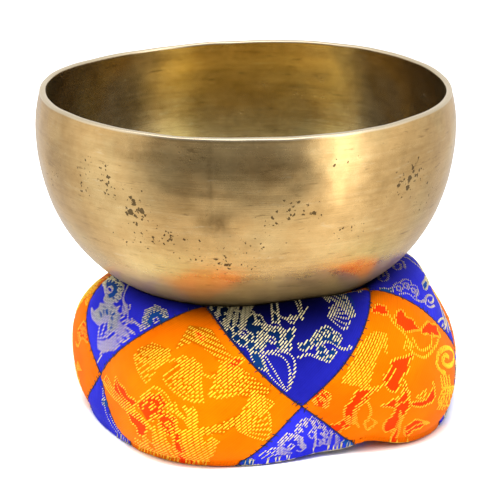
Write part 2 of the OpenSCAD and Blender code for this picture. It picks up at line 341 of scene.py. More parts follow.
# ---- bowl material
def brass():
    m, nt, p = new_mat("hammered_brass")
    vec = mapped(nt, (1, 1, 1))
    brush_vec = mapped(nt, (22, 22, 620))
    brush = noise(nt, brush_vec, 1.0, 4.0, 0.65)
    brush2 = noise(nt, mapped(nt, (60, 60, 2400)), 1.0, 2.0, 0.6)
    cloud = noise(nt, vec, 38.0, 5.0, 0.62)
    cloud2 = noise(nt, mapped(nt, (1, 1, 1.6), (3, 1, 2)), 120.0, 6.0, 0.7)
    base = ramp(nt, cloud, [(0.30, srgb("CDA263")), (0.48, srgb("E8BC7A")), (0.66, srgb("F6D494"))])
    base = mix(nt, 0.30, base, ramp(nt, brush, [(0.28, srgb("B08A50")), (0.55, srgb("EAC282")), (0.78, srgb("FFE2AC"))]))
    base = mix(nt, 0.22, base, ramp(nt, cloud2, [(0.33, srgb("9C7742")), (0.6, srgb("F2CC8E"))]))
    att = node(nt, "ShaderNodeAttribute", attribute_name="masks")
    sep = nt.nodes.new("ShaderNodeSeparateColor")
    link(nt, att.outputs["Color"], sep.inputs[0])
    dark_m, pit_m, low_m = sep.outputs[0], sep.outputs[1], sep.outputs[2]
    # blots of patina, broken up by noise
    broken = math_node(nt, "MULTIPLY", dark_m, ramp(nt, noise(nt, vec, 160.0, 5.0, 0.7), [(0.32, (0.25,) * 3), (0.62, (1.15,) * 3)]))
    base = mix(nt, math_node(nt, "MULTIPLY", broken, 0.62, True), base, srgb("5A4222"))
    base = mix(nt, math_node(nt, "MULTIPLY", low_m, 0.60), base, srgb("B29664"))
    fleck = noise(nt, mapped(nt, (90, 90, 520), (7, 3, 1)), 1.0, 3.0, 0.7)
    base = mix(nt, ramp(nt, fleck, [(0.62, (0,) * 3), (0.74, (0.28,) * 3)]), base, srgb("FFEBC0"))
    base = mix(nt, ramp(nt, fleck, [(0.27, (0.5,) * 3), (0.38, (0,) * 3)]), base, srgb("7C5C30"))
    # painted shade: the outside is darkened towards the base, where the bowl sits down in the cushion
    painted_foot_shade = node(nt, "ShaderNodeAttribute", attribute_name="painted_foot_shade")
    base = mix(nt, math_node(nt, "MULTIPLY", painted_foot_shade.outputs["Fac"], 0.66), base, srgb("50401E"))
    # pits and black specks, thick where the mask says
    jit = node(nt, "ShaderNodeTexNoise", inputs={"Scale": 900.0, "Detail": 2.0})
    link(nt, vec, jit.inputs["Vector"])
    ja = node(nt, "ShaderNodeVectorMath", operation="MULTIPLY_ADD")
    link(nt, jit.outputs["Color"], ja.inputs[0])
    ja.inputs[1].default_value = (0.0016, 0.0016, 0.0016)
    link(nt, vec, ja.inputs[2])
    jv = ja.outputs[0]
    vor = node(nt, "ShaderNodeTexVoronoi", feature="F1", inputs={"Scale": 620.0, "Randomness": 1.0})
    link(nt, jv, vor.inputs["Vector"])
    sel = noise(nt, vec, 420.0, 3.0, 0.6)
    thr = math_node(nt, "MULTIPLY_ADD", pit_m, 0.42)
    nt.nodes[-1].inputs[2].default_value = -0.015
    speck = math_node(nt, "LESS_THAN", vor.outputs["Distance"], thr)
    keep = math_node(nt, "GREATER_THAN", sel, 0.49)
    speck = math_node(nt, "MULTIPLY", speck, keep)
    vor2 = node(nt, "ShaderNodeTexVoronoi", feature="F1", inputs={"Scale": 260.0, "Randomness": 1.0})
    link(nt, jv, vor2.inputs["Vector"])
    thr2 = math_node(nt, "MULTIPLY_ADD", pit_m, 0.36)
    nt.nodes[-1].inputs[2].default_value = -0.05
    big = math_node(nt, "LESS_THAN", vor2.outputs["Distance"], thr2)
    big = math_node(nt, "MULTIPLY", big, math_node(nt, "GREATER_THAN", noise(nt, vec, 90.0, 2.0, 0.5), 0.47))
    specks = math_node(nt, "MAXIMUM", speck, big)
    base = mix(nt, math_node(nt, "MULTIPLY", specks, 0.72), base, srgb("2E2212"))
    # painted reflection tone: less red and blue in two blots low on the front, where the cushion's reflection falls
    reflection_tone = node(nt, "ShaderNodeAttribute", attribute_name="reflection_tone")
    base = mix(nt, reflection_tone.outputs["Fac"], base, mix(nt, 1.0, base, (0.84, 0.98, 0.86), "MULTIPLY"))
    inner = node(nt, "ShaderNodeAttribute", attribute_name="inside")
    # the inside's patina tint, with painted highlight bands and painted shade at the two ends
    patina_and_light = node(nt, "ShaderNodeAttribute", attribute_name="patina_and_light")
    base = mix(nt, inner.outputs["Fac"], base, mix(nt, 1.0, base, patina_and_light.outputs["Color"], "MULTIPLY"))
    lipa = node(nt, "ShaderNodeAttribute", attribute_name="lip")
    base = mix(nt, math_node(nt, "MULTIPLY", lipa.outputs["Fac"], 0.8), base, srgb("FFEFCF"))
    link(nt, base, p.inputs["Base Color"])
    metal = math_node(nt, "MULTIPLY_ADD", low_m, -0.36)
    nt.nodes[-1].inputs[2].default_value = 1.0
    link(nt, metal, p.inputs["Metallic"])
    rough = math_node(nt, "MULTIPLY_ADD", cloud2, 0.16)
    nt.nodes[-1].inputs[2].default_value = 0.165
    rough = math_node(nt, "ADD", rough, math_node(nt, "MULTIPLY", low_m, 0.14))
    rough = math_node(nt, "ADD", rough, math_node(nt, "MULTIPLY", specks, 0.3))
    rough = math_node(nt, "ADD", rough, math_node(nt, "MULTIPLY", broken, 0.12))
    link(nt, rough, p.inputs["Roughness"])
    p.inputs["Anisotropic"].default_value = 0.6
    p.inputs["Anisotropic Rotation"].default_value = 0.25
    tan = nt.nodes.new("ShaderNodeTangent")
    tan.direction_type, tan.axis = "RADIAL", "Z"
    link(nt, tan.outputs["Tangent"], p.inputs["Tangent"])
    h = math_node(nt, "ADD", math_node(nt, "MULTIPLY", brush, 0.5), math_node(nt, "MULTIPLY", brush2, 0.35))
    h = math_node(nt, "ADD", h, math_node(nt, "MULTIPLY", cloud2, 0.7))
    h = math_node(nt, "SUBTRACT", h, math_node(nt, "MULTIPLY", specks, 0.9))
    bump = node(nt, "ShaderNodeBump", inputs={"Strength": 0.5, "Distance": 0.00010})
    link(nt, h, bump.inputs["Height"])
    link(nt, bump.outputs["Normal"], p.inputs["Normal"])
    return m


REFLECTION_TONE = np.clip(spot(-19, 17, 15, 9) + spot(38, 21, 12, 9), 0, 1) * outside      # painted reflection tone: the metal made less red in two blots low on the front, where the cushion is reflected
# the inside's patina tint, with painted highlight bands at two places on the back wall and painted shade, darker and
# bluer, at the two ends
painted_end_shade = np.exp(-((np.abs(deg) - 118) / 24) ** 2)
painted_highlight_bands = np.exp(-(((deg + 159 + 180) % 360 - 180) / 6.5) ** 2) + 0.8 * np.exp(-(((deg - 151 + 180) % 360 - 180) / 6.5) ** 2)
PATINA_AND_LIGHT = np.stack([0.71 * (1 + 0.34 * painted_highlight_bands) * (1 - 0.26 * painted_end_shade), 0.80 * (1 + 0.38 * painted_highlight_bands) * (1 - 0.10 * painted_end_shade),
                0.74 * (1 + 0.24 * painted_highlight_bands) * (1 + 0.80 * painted_end_shade)], -1)
PATINA_AND_LIGHT = np.concatenate([PATINA_AND_LIGHT.reshape(-1, 3), [[0.76, 0.83, 0.84]] * 2])
MASKS = np.stack([np.clip(dark, 0, 1), np.clip(pits, 0, 1), np.clip(lower, 0, 1)], -1).reshape(-1, 3)
MASKS = np.concatenate([MASKS, [[0.1, 0.1, 0.8], [0.1, 0.1, 0]]])
bowl = make("bowl_hammered", np.concatenate([bowl_v, poles]), [quads, cap0, cap1], [brass()],
            attrs={"masks": ("POINT", MASKS), "reflection_tone": ("POINT", np.concatenate([REFLECTION_TONE.ravel(), [0, 0]])), "patina_and_light": ("POINT", PATINA_AND_LIGHT), "inside": ("POINT", np.concatenate([smooth(sd, 0.6, 0.9).ravel(), [0, 1]])),
                    "lip": ("POINT", np.concatenate([((sd > 0.4) & (sd < 0.6)).astype(float).ravel(), [0, 0]])),
                    # painted shade on the outside towards the base, where the bowl sits in the cushion
                    "painted_foot_shade": ("POINT", np.concatenate([(smooth(z0, 18.0, 4.0) * outside).ravel(), [1, 0]]))})
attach(bowl, "bowl")
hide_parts("bowl")


# ================================================================== CUSHION SURFACE
def section(t, d=0.0):
    """Ring section at ellipse angle t in degrees, d below the cloth's face."""
    t = np.asarray(t, float)
    c, s = np.cos(np.radians(t)), np.sin(np.radians(t))
    xu, zu = (HALF - d) * c, MID + (TOP - MID - d) * s
    xl = (HALF - d) * np.sign(c) * np.abs(c) ** 0.36
    zl = MID - (MID + 1.0 - d) * np.abs(np.minimum(s, 0)) ** 0.8
    zl = np.where(zl > d + 2.5, zl, d + 2.5 * np.exp((zl - d - 2.5) / 2.5) * 0.35 + (zl - d) * 0.0)
    up_ = s >= 0
    return np.where(up_, xu, xl), np.where(up_, zu, np.maximum(zl, d))


_tables = []
for q in range(4):
    tt = 90 * q + np.linspace(0, 90, 181)
    sx, sz = section(tt)
    ln = np.concatenate([[0], np.cumsum(np.hypot(np.diff(sx), np.diff(sz)))])
    _tables.append((ln / ln[-1], tt))


def angle_at(s):
    w = np.mod(s, 4.0)
    q = np.minimum(3, np.floor(w)).astype(int)
    out = np.zeros_like(w)
    for k in range(4):
        pick = q == k
        out[pick] = np.interp((w - q)[pick], _tables[k][0], _tables[k][1])
    return out


def bulge(a, s):
    g = (0.25 + 0.2 * np.cos(np.radians(90 * s)) - 0.3 * np.sin(np.radians(90 * s)) + 0.55 * np.cos(np.radians(180 * s)))
    return PUFF * np.cos(np.radians(NROW * (a - TURN))) * g


def limit(p, gap=0.3):
    """Keeps points above the floor and under the bowl."""
    q = np.hypot(p[..., 0] - BX, p[..., 1])
    p[..., 2] = np.clip(p[..., 2], 0.0, None)
    p[..., 2] = np.minimum(p[..., 2], under_bowl(q) - gap)
    return p


# the hand-filled ring isn't even: (turn, quarter, spread of each, move out, move up) in degrees, quarters and mm
SLUMP = [(-24, -0.35, 20, 0.45, 5.0, 0.0), (20, -0.45, 13, 0.45, -5.0, 1.5), (36, -0.55, 8, 0.3, -3.4, 2.4),
         (60, -0.3, 14, 0.4, 1.2, 0.0), (95, -0.25, 22, 0.5, 3.0, 0.0), (88, 0.60, 26, 0.40, -3.4, -3.0),
         (-84, 0.55, 30, 0.45, 0.8, 2.6), (-90, -0.3, 26, 0.5, 0.5, 0.0), (0, 0.0, 4000, 9.0, -0.9, -0.5),
         (0, 1.0, 4000, 0.40, 0.0, 1.0), (-25, 1.0, 16, 0.34, 0.0, 1.6), (47, 1.0, 16, 0.34, 0.0, 1.6), (119, 1.0, 16, 0.34, 0.0, 1.2),
         (-97, 1.0, 16, 0.34, 0.0, 1.2), (-84, 0.45, 26, 0.42, 2.2, 0.6), (-62, -0.5, 26, 0.4, 1.6, 0.0), (88, 0.2, 20, 0.5, 1.0, 0.0)]


def slump(a, s):
    dr, dz = 0 * a + 0.0 * s, 0 * a + 0.0 * s
    for ac, sc_, wa, ws, r_, z_ in SLUMP:
        da = (a - ac + 180) % 360 - 180
        ds = (s - sc_ + 2) % 4 - 2
        w = np.exp(-(da / wa) ** 2 - (ds / ws) ** 2)
        dr, dz = dr + w * r_ * np.cos(np.radians(90 * s)) / np.maximum(0.25, np.cos(np.radians(90 * sc_))), dz + w * z_
    return dr, dz


def ring_base(a, s, d=0.0, clamp=True):
    """Point of the cushion's plain skin: a degrees from the front towards +X, s quarters round the section."""
    a, s = np.asarray(a, float), np.asarray(s, float)
    x, z = section(angle_at(s), d)
    b = bulge(a, s)
    n0_, n1_ = np.cos(np.radians(90 * s)), np.sin(np.radians(90 * s))
    wa = a - 5.0 * np.exp(-(((a + 61 + 180) % 360 - 180) / 26) ** 2) + 8.0 * np.exp(-(((a - 88 + 180) % 360 - 180) / 24) ** 2)
    ra = np.radians(wa)
    r = RING_R + x + b * n0_ - PRESS * np.maximum(0, -np.sin(ra)) ** 2
    z = (z + np.where(np.mod(s, 4) < 2, b * np.maximum(0, n1_), 0)) * (1 + TILT * np.sin(ra))
    dr, dz = slump(a, s)
    r, z = r + dr, z + dz
    p = np.stack([RX + r * np.sin(ra), -r * np.cos(ra), z], -1)
    return limit(p) if clamp else p


def seam_distance(a, s):
    """Distance to the nearest seam as a share of a diamond's half width, from 0 on a seam to 1 at a centre."""
    f, g = (a - TURN) / (PITCH / 2), s
    u, v = f + g, g - f            # seams are where u or v is an odd whole number
    du = np.abs(np.mod(u + 1 + 1, 2) - 1)
    dv = np.abs(np.mod(v + 1 + 1, 2) - 1)
    return np.minimum(du, dv), du, dv


# ---- cloth simulation of the stuffed skin: a torus grid whose seams run through its vertices
M = 24
NA, NS = 10 * M, 4 * M
ga = TURN + np.arange(NA) * (PITCH / 2 / M)
gs = np.arange(NS) / M
GA, GS = np.meshgrid(ga, gs, indexing="ij")
start = ring_base(GA, GS, 0.0, clamp=False)


def grid_normals(P):
    du = np.roll(P, -1, 0) - np.roll(P, 1, 0)
    dv = np.roll(P, -1, 1) - np.roll(P, 1, 1)
    n = np.cross(du, dv)
    return n / (np.linalg.norm(n, axis=-1, keepdims=True) + 1e-12)


def simulate(P):
    """Inflates the skin between its seams with Blender's cloth, and returns the moved grid."""
    ia, js = np.meshgrid(np.arange(NA), np.arange(NS), indexing="ij")
    f = np.stack([ia * NS + js, ((ia + 1) % NA) * NS + js, ((ia + 1) % NA) * NS + (js + 1) % NS, ia * NS + (js + 1) % NS], -1).reshape(-1, 4)
    ob = make("sim_skin", P.reshape(-1, 3) * 10, [f], [])      # ten times life size, where the solver is steady
    dist = seam_distance(GA, GS)[0].ravel()
    vg = ob.vertex_groups.new(name="pin")
    for w, lo, hi in ((1.0, -1, 0.01), (0.35, 0.01, 0.055)):
        ids = np.nonzero((dist >= lo) & (dist < hi))[0]
        vg.add([int(x) for x in ids], w, "REPLACE")
    cl = ob.modifiers.new("cloth", "CLOTH")
    st = cl.settings
    st.quality = 6
    st.mass = 0.25
    st.tension_stiffness = st.compression_stiffness = 12
    st.shear_stiffness = 6
    st.bending_stiffness = 0.6
    st.tension_damping = st.compression_damping = st.shear_damping = 8
    st.vertex_group_mass = "pin"
    st.pin_stiffness = 1.0
    st.use_pressure = True
    st.uniform_pressure_force = 3.0
    st.effector_weights.gravity = 0.0
    cl.collision_settings.use_collision = False
    cl.collision_settings.use_self_collision = False
    cl.point_cache.frame_start, cl.point_cache.frame_end = 1, 20
    sc_ = bpy.context.scene
    for fr in range(1, 21):
        sc_.frame_set(fr)
    dg = bpy.context.evaluated_depsgraph_get()
    me = ob.evaluated_get(dg).to_mesh()
    out = np.zeros(len(me.vertices) * 3, np.float32)
    me.vertices.foreach_get("co", out)
    ob.evaluated_get(dg).to_mesh_clear()
    sc_.frame_set(1)
    bpy.data.objects.remove(ob)
    return out.reshape(NA, NS, 3).astype(float) / MM / 10


nrm0 = grid_normals(start)
if nrm0[0, 0] @ (start[0, 0] - np.array([RX, 0, MID])) < 0:
    nrm0 = -nrm0
CAP = 1.5
moved = simulate(start) - start
size_ = np.linalg.norm(moved, axis=-1, keepdims=True)
print("SIM move mm: max %.2f mean %.2f" % (size_.max(), size_.mean()))
moved = moved * np.minimum(1, CAP / np.maximum(size_, 1e-9))
# even out the solver's small-scale noise
for _ in range(2):
    moved = (moved * 2 + np.roll(moved, 1, 0) + np.roll(moved, -1, 0) + np.roll(moved, 1, 1) + np.roll(moved, -1, 1)) / 6


def sample_move(a, s):
    """The simulated move at any point of the skin, read smoothly from the grid."""
    fa = np.mod((a - TURN) / (PITCH / 2) * M, NA)
    fs = np.mod(s * M, NS)
    i, j = np.floor(fa).astype(int), np.floor(fs).astype(int)
    x, y = (fa - i)[..., None], (fs - j)[..., None]
    x, y = x * x * (3 - 2 * x) * 0.5 + x * 0.5, y * y * (3 - 2 * y) * 0.5 + y * 0.5
    g = lambda p, q: moved[np.mod(p, NA), np.mod(q, NS)]
    return g(i, j) * (1 - x) * (1 - y) + g(i + 1, j) * x * (1 - y) + g(i, j + 1) * (1 - x) * y + g(i + 1, j + 1) * x * y


SIDE_MM = 26.5    # half a diamond's edge, about


def skin(a, s, up_mm=0.0, groove=True):
    """The cushion's cloth surface, with its seams drawn in and puckered. up_mm stands off along the normal."""
    a, s = np.asarray(a, float), np.asarray(s, float)
    up_mm = np.broadcast_to(np.asarray(up_mm, float), a.shape)
    e = 0.15
    p = ring_base(a, s, clamp=False) + sample_move(a, s)
    pa = ring_base(a + e, s, clamp=False) - ring_base(a - e, s, clamp=False)
    ps = ring_base(a, s + 0.01, clamp=False) - ring_base(a, s - 0.01, clamp=False)
    n = np.cross(pa, ps)
    n /= np.linalg.norm(n, axis=-1, keepdims=True) + 1e-12
    out = p - np.stack([RX + RING_R * np.sin(np.radians(a)), -RING_R * np.cos(np.radians(a)), np.full_like(a, MID)], -1)
    n *= np.sign((n * out).sum(-1, keepdims=True) + 1e-12)
    h = up_mm.copy()
    if groove:
        d, du_, dv_ = seam_distance(a, s)
        du_, dv_ = np.clip(du_, 0, 1) * SIDE_MM, np.clip(dv_, 0, 1) * SIDE_MM
        f, g = (a - TURN) / (PITCH / 2), s
        for dist_, along, sd_ in ((du_, (g - f) * SIDE_MM, 1), (dv_, (f + g) * SIDE_MM, 2)):
            h = h - 0.42 * np.exp(-(dist_ / 0.50) ** 1.3) - 0.15 * np.exp(-(dist_ / 2.4) ** 2)
            cell = np.stack([along / 5.2 + 7 * sd_, np.round((f + g if sd_ == 1 else g - f)) * 3.1 + 0 * along, 0 * along + sd_], -1)
            ph = noise3(cell.reshape(-1, 3), 21).reshape(along.shape)
            puck = np.sin(along * 2 * np.pi / 2.7 + 2.2 * ph) * 0.10 + noise3((cell * [1.6, 1, 1]).reshape(-1, 3), 22).reshape(along.shape) * 0.16
            h = h + puck * np.exp(-(dist_ / 2.6) ** 1.5) * np.minimum(1, dist_ / 0.5)
    # slack wrinkles of the cloth
    q = p / 11.0
    h = h + 0.16 * noise3(q.reshape(-1, 3), 40).reshape(a.shape) + 0.05 * noise3((p / 4.0).reshape(-1, 3), 41).reshape(a.shape)
    return limit(p + n * h[..., None], 0.3 + np.maximum(0, 0)), n


# ================================================================== BROCADE FIGURES, drawn in a patch's own millimetres
ROW = 0.82        # weft pitch


def fine(poly, step=0.8):
    """A closed outline with points close enough to bend with the cloth."""
    poly = np.asarray(poly, float)
    nxt = np.roll(poly, -1, 0)
    out = []
    for p, q in zip(poly, nxt):
        n = max(1, int(np.hypot(*(q - p)) / step))
        out.append(p + (q - p) * (np.arange(n) / n)[:, None])
    return np.concatenate(out)


def front_lay(a0, s0, centre):
    """Lays a drawing made in the front view onto a diamond: where each point of it falls on the cloth."""
    el_ = math.radians(16.62)

    def view(uv):
        a = a0 + PITCH / 2 * (uv[:, 0] - uv[:, 1]) / 2
        s_ = s0 + (uv[:, 0] + uv[:, 1]) / 2
        p = ring_base(a, s_, clamp=False)
        return np.stack([p[:, 0], p[:, 2] * math.cos(el_) + p[:, 1] * math.sin(el_)], -1)

    def lay(q):
        q = np.asarray(q, float) + centre
        uv = np.zeros_like(q) + {0: 0.0, 1: -0.45, 3: 0.65}.get(s0, 0.0)
        for _ in range(14):
            f0 = view(uv)
            e = 0.02
            fu = (view(uv + [e, 0]) - f0) / e
            fv = (view(uv + [0, e]) - f0) / e
            det = fu[:, 0] * fv[:, 1] - fu[:, 1] * fv[:, 0]
            det = np.where(np.abs(det) < 40, 40 * np.sign(det + 1e-9), det)
            d = q - f0
            du = (d[:, 0] * fv[:, 1] - d[:, 1] * fv[:, 0]) / det
            dv = (fu[:, 0] * d[:, 1] - fu[:, 1] * d[:, 0]) / det
            uv = np.clip(uv + np.clip(np.stack([du, dv], -1), -0.35, 0.35), -1.25, 1.25)
        return uv * SIDE_MM

    return lay


class Loom:
    """Rows of weft on one square of cloth. x runs along the weft, y across it, both in mm from the centre."""

    def __init__(self, half, lay=None):
        self.half = half
        self.lay = lay or (lambda q: q)
        self.nr = int(2 * half / ROW)
        self.dx = 0.12
        self.nx = int(2 * half / self.dx)
        self.y = (np.arange(self.nr) + 0.5) * ROW - half
        self.x = (np.arange(self.nx) + 0.5) * self.dx - half
        self.gold = np.zeros((self.nr, self.nx), bool)
        self.fills = []

    def line(self, pts, w=0.33, closed=False):
        pts = np.asarray(pts, float)
        if closed:
            pts = np.concatenate([pts, pts[:1]])
        pts = self.lay(pts)
        seg = np.diff(pts, axis=0)
        ln = np.linalg.norm(seg, axis=1)
        total = ln.sum()
        if total < 0.2:
            return
        t = np.arange(0, total, 0.14)
        cum = np.concatenate([[0], np.cumsum(ln)])
        px, py = np.interp(t, cum, pts[:, 0]), np.interp(t, cum, pts[:, 1])
        for k in (-1, 0, 1):
            r = np.round((py + self.half) / ROW - 0.5).astype(int) + k
            ok = (r >= 0) & (r < self.nr)
            dy = np.abs(self.y[np.clip(r, 0, self.nr - 1)] - py)
            ok &= dy < max(w, 0.411)
            hx = np.full_like(px, max(0.26, w * 0.8))
            c0 = np.floor((px - hx + self.half) / self.dx).astype(int)
            c1 = np.ceil((px + hx + self.half) / self.dx).astype(int)
            for rr, a, b in zip(r[ok], c0[ok], c1[ok]):
                if b > 0 and a < self.nx:
                    self.gold[rr, max(a, 0):b] = True

    def inside(self, poly):
        poly = self.lay(fine(poly))
        gx, gy = np.meshgrid(self.x, self.y)
        res = np.zeros(gx.shape, bool)
        x1, y1 = poly[:, 0], poly[:, 1]
        x2, y2 = np.roll(x1, -1), np.roll(y1, -1)
        for a, b, c, d in zip(x1, y1, x2, y2):
            if b == d:
                continue
            cross = ((b > self.y) != (d > self.y))
            if not cross.any():
                continue
            xi = (c - a) * (self.y[cross] - b) / (d - b) + a
            res[cross] ^= gx[cross] < xi[:, None]
        return res

    def solid(self, poly):
        self.gold |= self.inside(poly)

    def clear(self, poly):
        self.gold &= ~self.inside(poly)

    def fill(self, poly):
        self.fills.append((self.lay(fine(poly)), 1))

    def dense(self, poly, on=1.15, step=1.75, lean_=0.55, row=1):
        """Fills a shape with rows of short dashes that step from row to row."""
        m = self.inside(poly)
        self.fills.append((self.lay(fine(poly)), 2))
        rr = np.arange(self.nr)[:, None]
        ph = np.mod(self.x[None, :] + rr * lean_, step)
        self.gold |= m & (ph < on) & (rr % row == 0)

    def runs(self):
        """Weft floats as (row, x0, x1), none longer than a real float."""
        out = []
        for r in range(self.nr):
            g = np.concatenate([[False], self.gold[r], [False]])
            d = np.diff(g.astype(int))
            for a, b in zip(np.nonzero(d == 1)[0], np.nonzero(d == -1)[0]):
                x0, x1 = a * self.dx - self.half, b * self.dx - self.half
                if x1 - x0 < 0.3:
                    continue
                n = max(1, int(np.ceil((x1 - x0) / 2.1)))
                if n > 1:      # binding points step from row to row, as in twill
                    off = ((r * 0.7) % 2.1)
                    cuts = [x0] + [c for c in np.arange(np.ceil(x0 / 2.1) * 2.1 - 2.1 + off, x1, 2.1) if x0 + 0.35 < c < x1 - 0.35] + [x1]
                else:
                    cuts = [x0, x1]
                for c0, c1 in zip(cuts[:-1], cuts[1:]):
                    out.append((r, c0 + 0.05, c1 - 0.05))
        return out


def circ(c, r, n=40, a0=0.0, a1=360.0, ry=None):
    t = np.radians(np.linspace(a0, a1, n))
    return np.stack([c[0] + r * np.cos(t), c[1] + (ry or r) * np.sin(t)], -1)


def turn(p, deg_, c=(0, 0)):
    a = np.radians(deg_)
    p = np.asarray(p, float) - c
    return np.stack([p[:, 0] * np.cos(a) - p[:, 1] * np.sin(a), p[:, 0] * np.sin(a) + p[:, 1] * np.cos(a)], -1) + c


def spiral(c, r, turns, a0=0.0, hand=1, r_in=0.5):
    t = np.linspace(0, 1, int(40 * turns) + 8)
    a = np.radians(a0) + hand * 2 * np.pi * turns * t
    rr = r_in + (r - r_in) * t ** 0.85
    return np.stack([c[0] + rr * np.cos(a), c[1] + rr * np.sin(a)], -1)


def cloud(lm, c, size, rot=0.0, hand=1, fill=True):
    """A curling cloud: scalloped back, one long tail, a scroll in each lobe."""
    c = np.array(c, float)
    lobes = [(-1.0, 0.1, 0.62), (-0.25, 0.55, 0.72), (0.65, 0.25, 0.6)]
    outline = []
    for (x, y, r), (a0, a1) in zip(lobes, ((215, 60), (160, 35), (125, -60))):
        outline.append(circ((x, y), r, 24, a0, a1))
    tail = np.stack([np.linspace(0.95, 2.3, 16), -0.3 - 0.35 * np.sin(np.linspace(0, np.pi, 16))], -1)
    back = np.stack([np.linspace(2.3, -1.4, 24), -0.45 - 0.28 * np.sin(np.linspace(0, 2.4 * np.pi, 24))], -1)
    pts = np.concatenate(outline + [tail, back]) * [size, size * hand]
    pts = turn(pts, rot) + c
    if fill:
        lm.fill(pts)
    lm.line(pts, closed=True)
    for (x, y, r) in lobes:
        sp = spiral((x * size, y * size * hand), r * size * 0.55, 1.25, 40, -hand)
        lm.line(turn(sp, rot) + c)


def peony(lm, c, size, rot=0.0, petals=7, fill=True, rings=3):
    """A layered blossom of lobed rings."""
    c = np.array(c, float)
    for k in range(rings):
        f = 1 - k * 0.31
        t = np.linspace(0, 2 * np.pi, 90, endpoint=False)
        rr = size * f * (1 + 0.13 * np.abs(np.sin(t * petals / 2 + k * 0.8)) * 2 - 0.13)
        p = np.stack([rr * np.cos(t), rr * np.sin(t) * 0.86], -1)
        p = turn(p, rot + 13 * k) + c
        if k == 0 and fill:
            lm.fill(p)
        lm.line(p, closed=True)
    if rings > 2:
        lm.solid(turn(circ((0, 0), size * 0.17, 18), rot) + c)


def leaf(lm, c, length, width, rot=0.0, veins=5, solid=False, fill=True, bend=0.25):
    """A pointed leaf with a midrib and veins; solid ones are woven full of gold."""
    t = np.linspace(0, 1, 22)
    mid = np.stack([length * t, bend * length * np.sin(np.pi * t) * 0.6], -1)
    w = width * np.sin(np.pi * t ** 0.8) ** 0.9
    top_ = mid + np.stack([0 * t, w], -1)
    bot = mid - np.stack([0 * t, w], -1)
    out = np.concatenate([top_, bot[::-1]])
    tr = lambda p: turn(p, rot) + np.array(c, float)
    if fill:
        lm.fill(tr(out))
    if solid:
        lm.solid(tr(out))
        return
    lm.line(tr(out), closed=True)
    lm.line(tr(mid))
    for k in range(1, veins):
        i = int(22 * k / (veins + 0.5))
        for sgn in (1, -1):
            a = mid[i]
            b = mid[min(i + 3, 21)] + [0, sgn * w[min(i + 3, 21)] * 0.86]
            lm.line(tr(np.array([a, b])), 0.3)


def plume(lm, c, length, rot=0.0, ribs=7, spread_=60.0, curl=0.5):
    """A fan of curved ribs like a spread tail, outlined at its end."""
    ends = []
    for k in range(ribs):
        a = np.radians(rot + spread_ * (k / (ribs - 1) - 0.5))
        t = np.linspace(0.12, 1, 20)
        ln = length * (1 - 0.18 * abs(k / (ribs - 1) - 0.5) * 2)
        b = a + curl * (t - 0.2) * 0.9
        p = np.stack([c[0] + ln * t * np.cos(b), c[1] + ln * t * np.sin(b)], -1)
        lm.line(p, 0.36)
        ends.append(p[-1])
    for p, q in zip(ends[:-1], ends[1:]):
        m = (p + q) / 2
        r = np.linalg.norm(p - q) / 2
        a = np.degrees(np.arctan2(*(q - p)[::-1]))
        lm.line(turn(circ((0, 0), r, 12, 180, 0), a) + m, 0.36)


def waves(lm, c, r, n=4, rot=0.0):
    """Nested scale arcs, as water is drawn."""
    for k in range(n):
        lm.line(turn(circ((0, 0), r * (1 - k * 0.23), 26, 8, 172), rot) + np.array(c, float), 0.36)


def vine(lm, pts, curls=(), w=0.42):
    """A smooth stem through hand-set points, with tendrils."""
    pts = np.asarray(pts, float)
    t = np.linspace(0, len(pts) - 1, 14 * len(pts))
    k = np.arange(len(pts))
    # Catmull-Rom through the points
    i = np.clip(np.floor(t).astype(int), 0, len(pts) - 2)
    f = (t - i)[:, None]
    p0, p1 = pts[np.maximum(i - 1, 0)], pts[i]
    p2, p3 = pts[i + 1], pts[np.minimum(i + 2, len(pts) - 1)]
    p = 0.5 * (2 * p1 + (p2 - p0) * f + (2 * p0 - 5 * p1 + 4 * p2 - p3) * f ** 2 + (3 * p1 - p0 - 3 * p2 + p3) * f ** 3)
    lm.line(p, w)
    for where, r, hand, a0 in curls:
        lm.line(spiral(p[int(where * (len(p) - 1))], r, 1.1, a0, hand), 0.38)
    return p


def petals(lm, c, size, n=6, rot=0.0, fill=True, arc=200.0, inner=True):
    """Round petals about a heart, each with a scalloped edge and a few short rays."""
    c = np.array(c, float)
    for k in range(n):
        a = rot + arc * (k / max(1, n - 1) - 0.5)
        d = np.array([np.cos(np.radians(a)), np.sin(np.radians(a))])
        m = c + d * size * 0.62
        t = np.linspace(-118, 118, 46)
        rr = size * 0.40 * (1 + 0.07 * np.sin(np.radians(t) * 7))
        p = np.stack([m[0] + rr * np.cos(np.radians(t + a)), m[1] + rr * np.sin(np.radians(t + a))], -1)
        shape = np.concatenate([p, [c + d * size * 0.2]])
        if fill:
            lm.fill(shape)
        lm.line(p)
        if inner:
            for q in (-38, 0, 38):
                e = np.array([np.cos(np.radians(a + q)), np.sin(np.radians(a + q))])
                lm.line(np.array([m + e * size * 0.10, m + e * size * 0.26]))
    lm.line(circ(c, size * 0.2, 16))


def flame(lm, base, tip, width, bend=0.3, red=True, rim=True, inner=False):
    """A licking leaf: fat at its base and bent to a point, filled with the second colour and lined with gold."""
    b, t = np.array(base, float), np.array(tip, float)
    d = t - b
    L = np.hypot(*d)
    n = np.array([-d[1], d[0]]) / L
    k = np.linspace(0, 1, 26)[:, None]
    mid = b + d * k + n * (bend * L * np.sin(np.pi * k * 0.9) * 0.5)
    w = width * (np.sin(np.pi * k ** 0.62) ** 0.8) * (1 + 0.22 * np.sin(k * 13))
    out = np.concatenate([mid + n * w, (mid - n * w * 0.8)[::-1]])
    if red:
        lm.fill(out)
    if rim:
        lm.line(out, closed=True)
    if inner:
        lm.line(mid[3:-4])


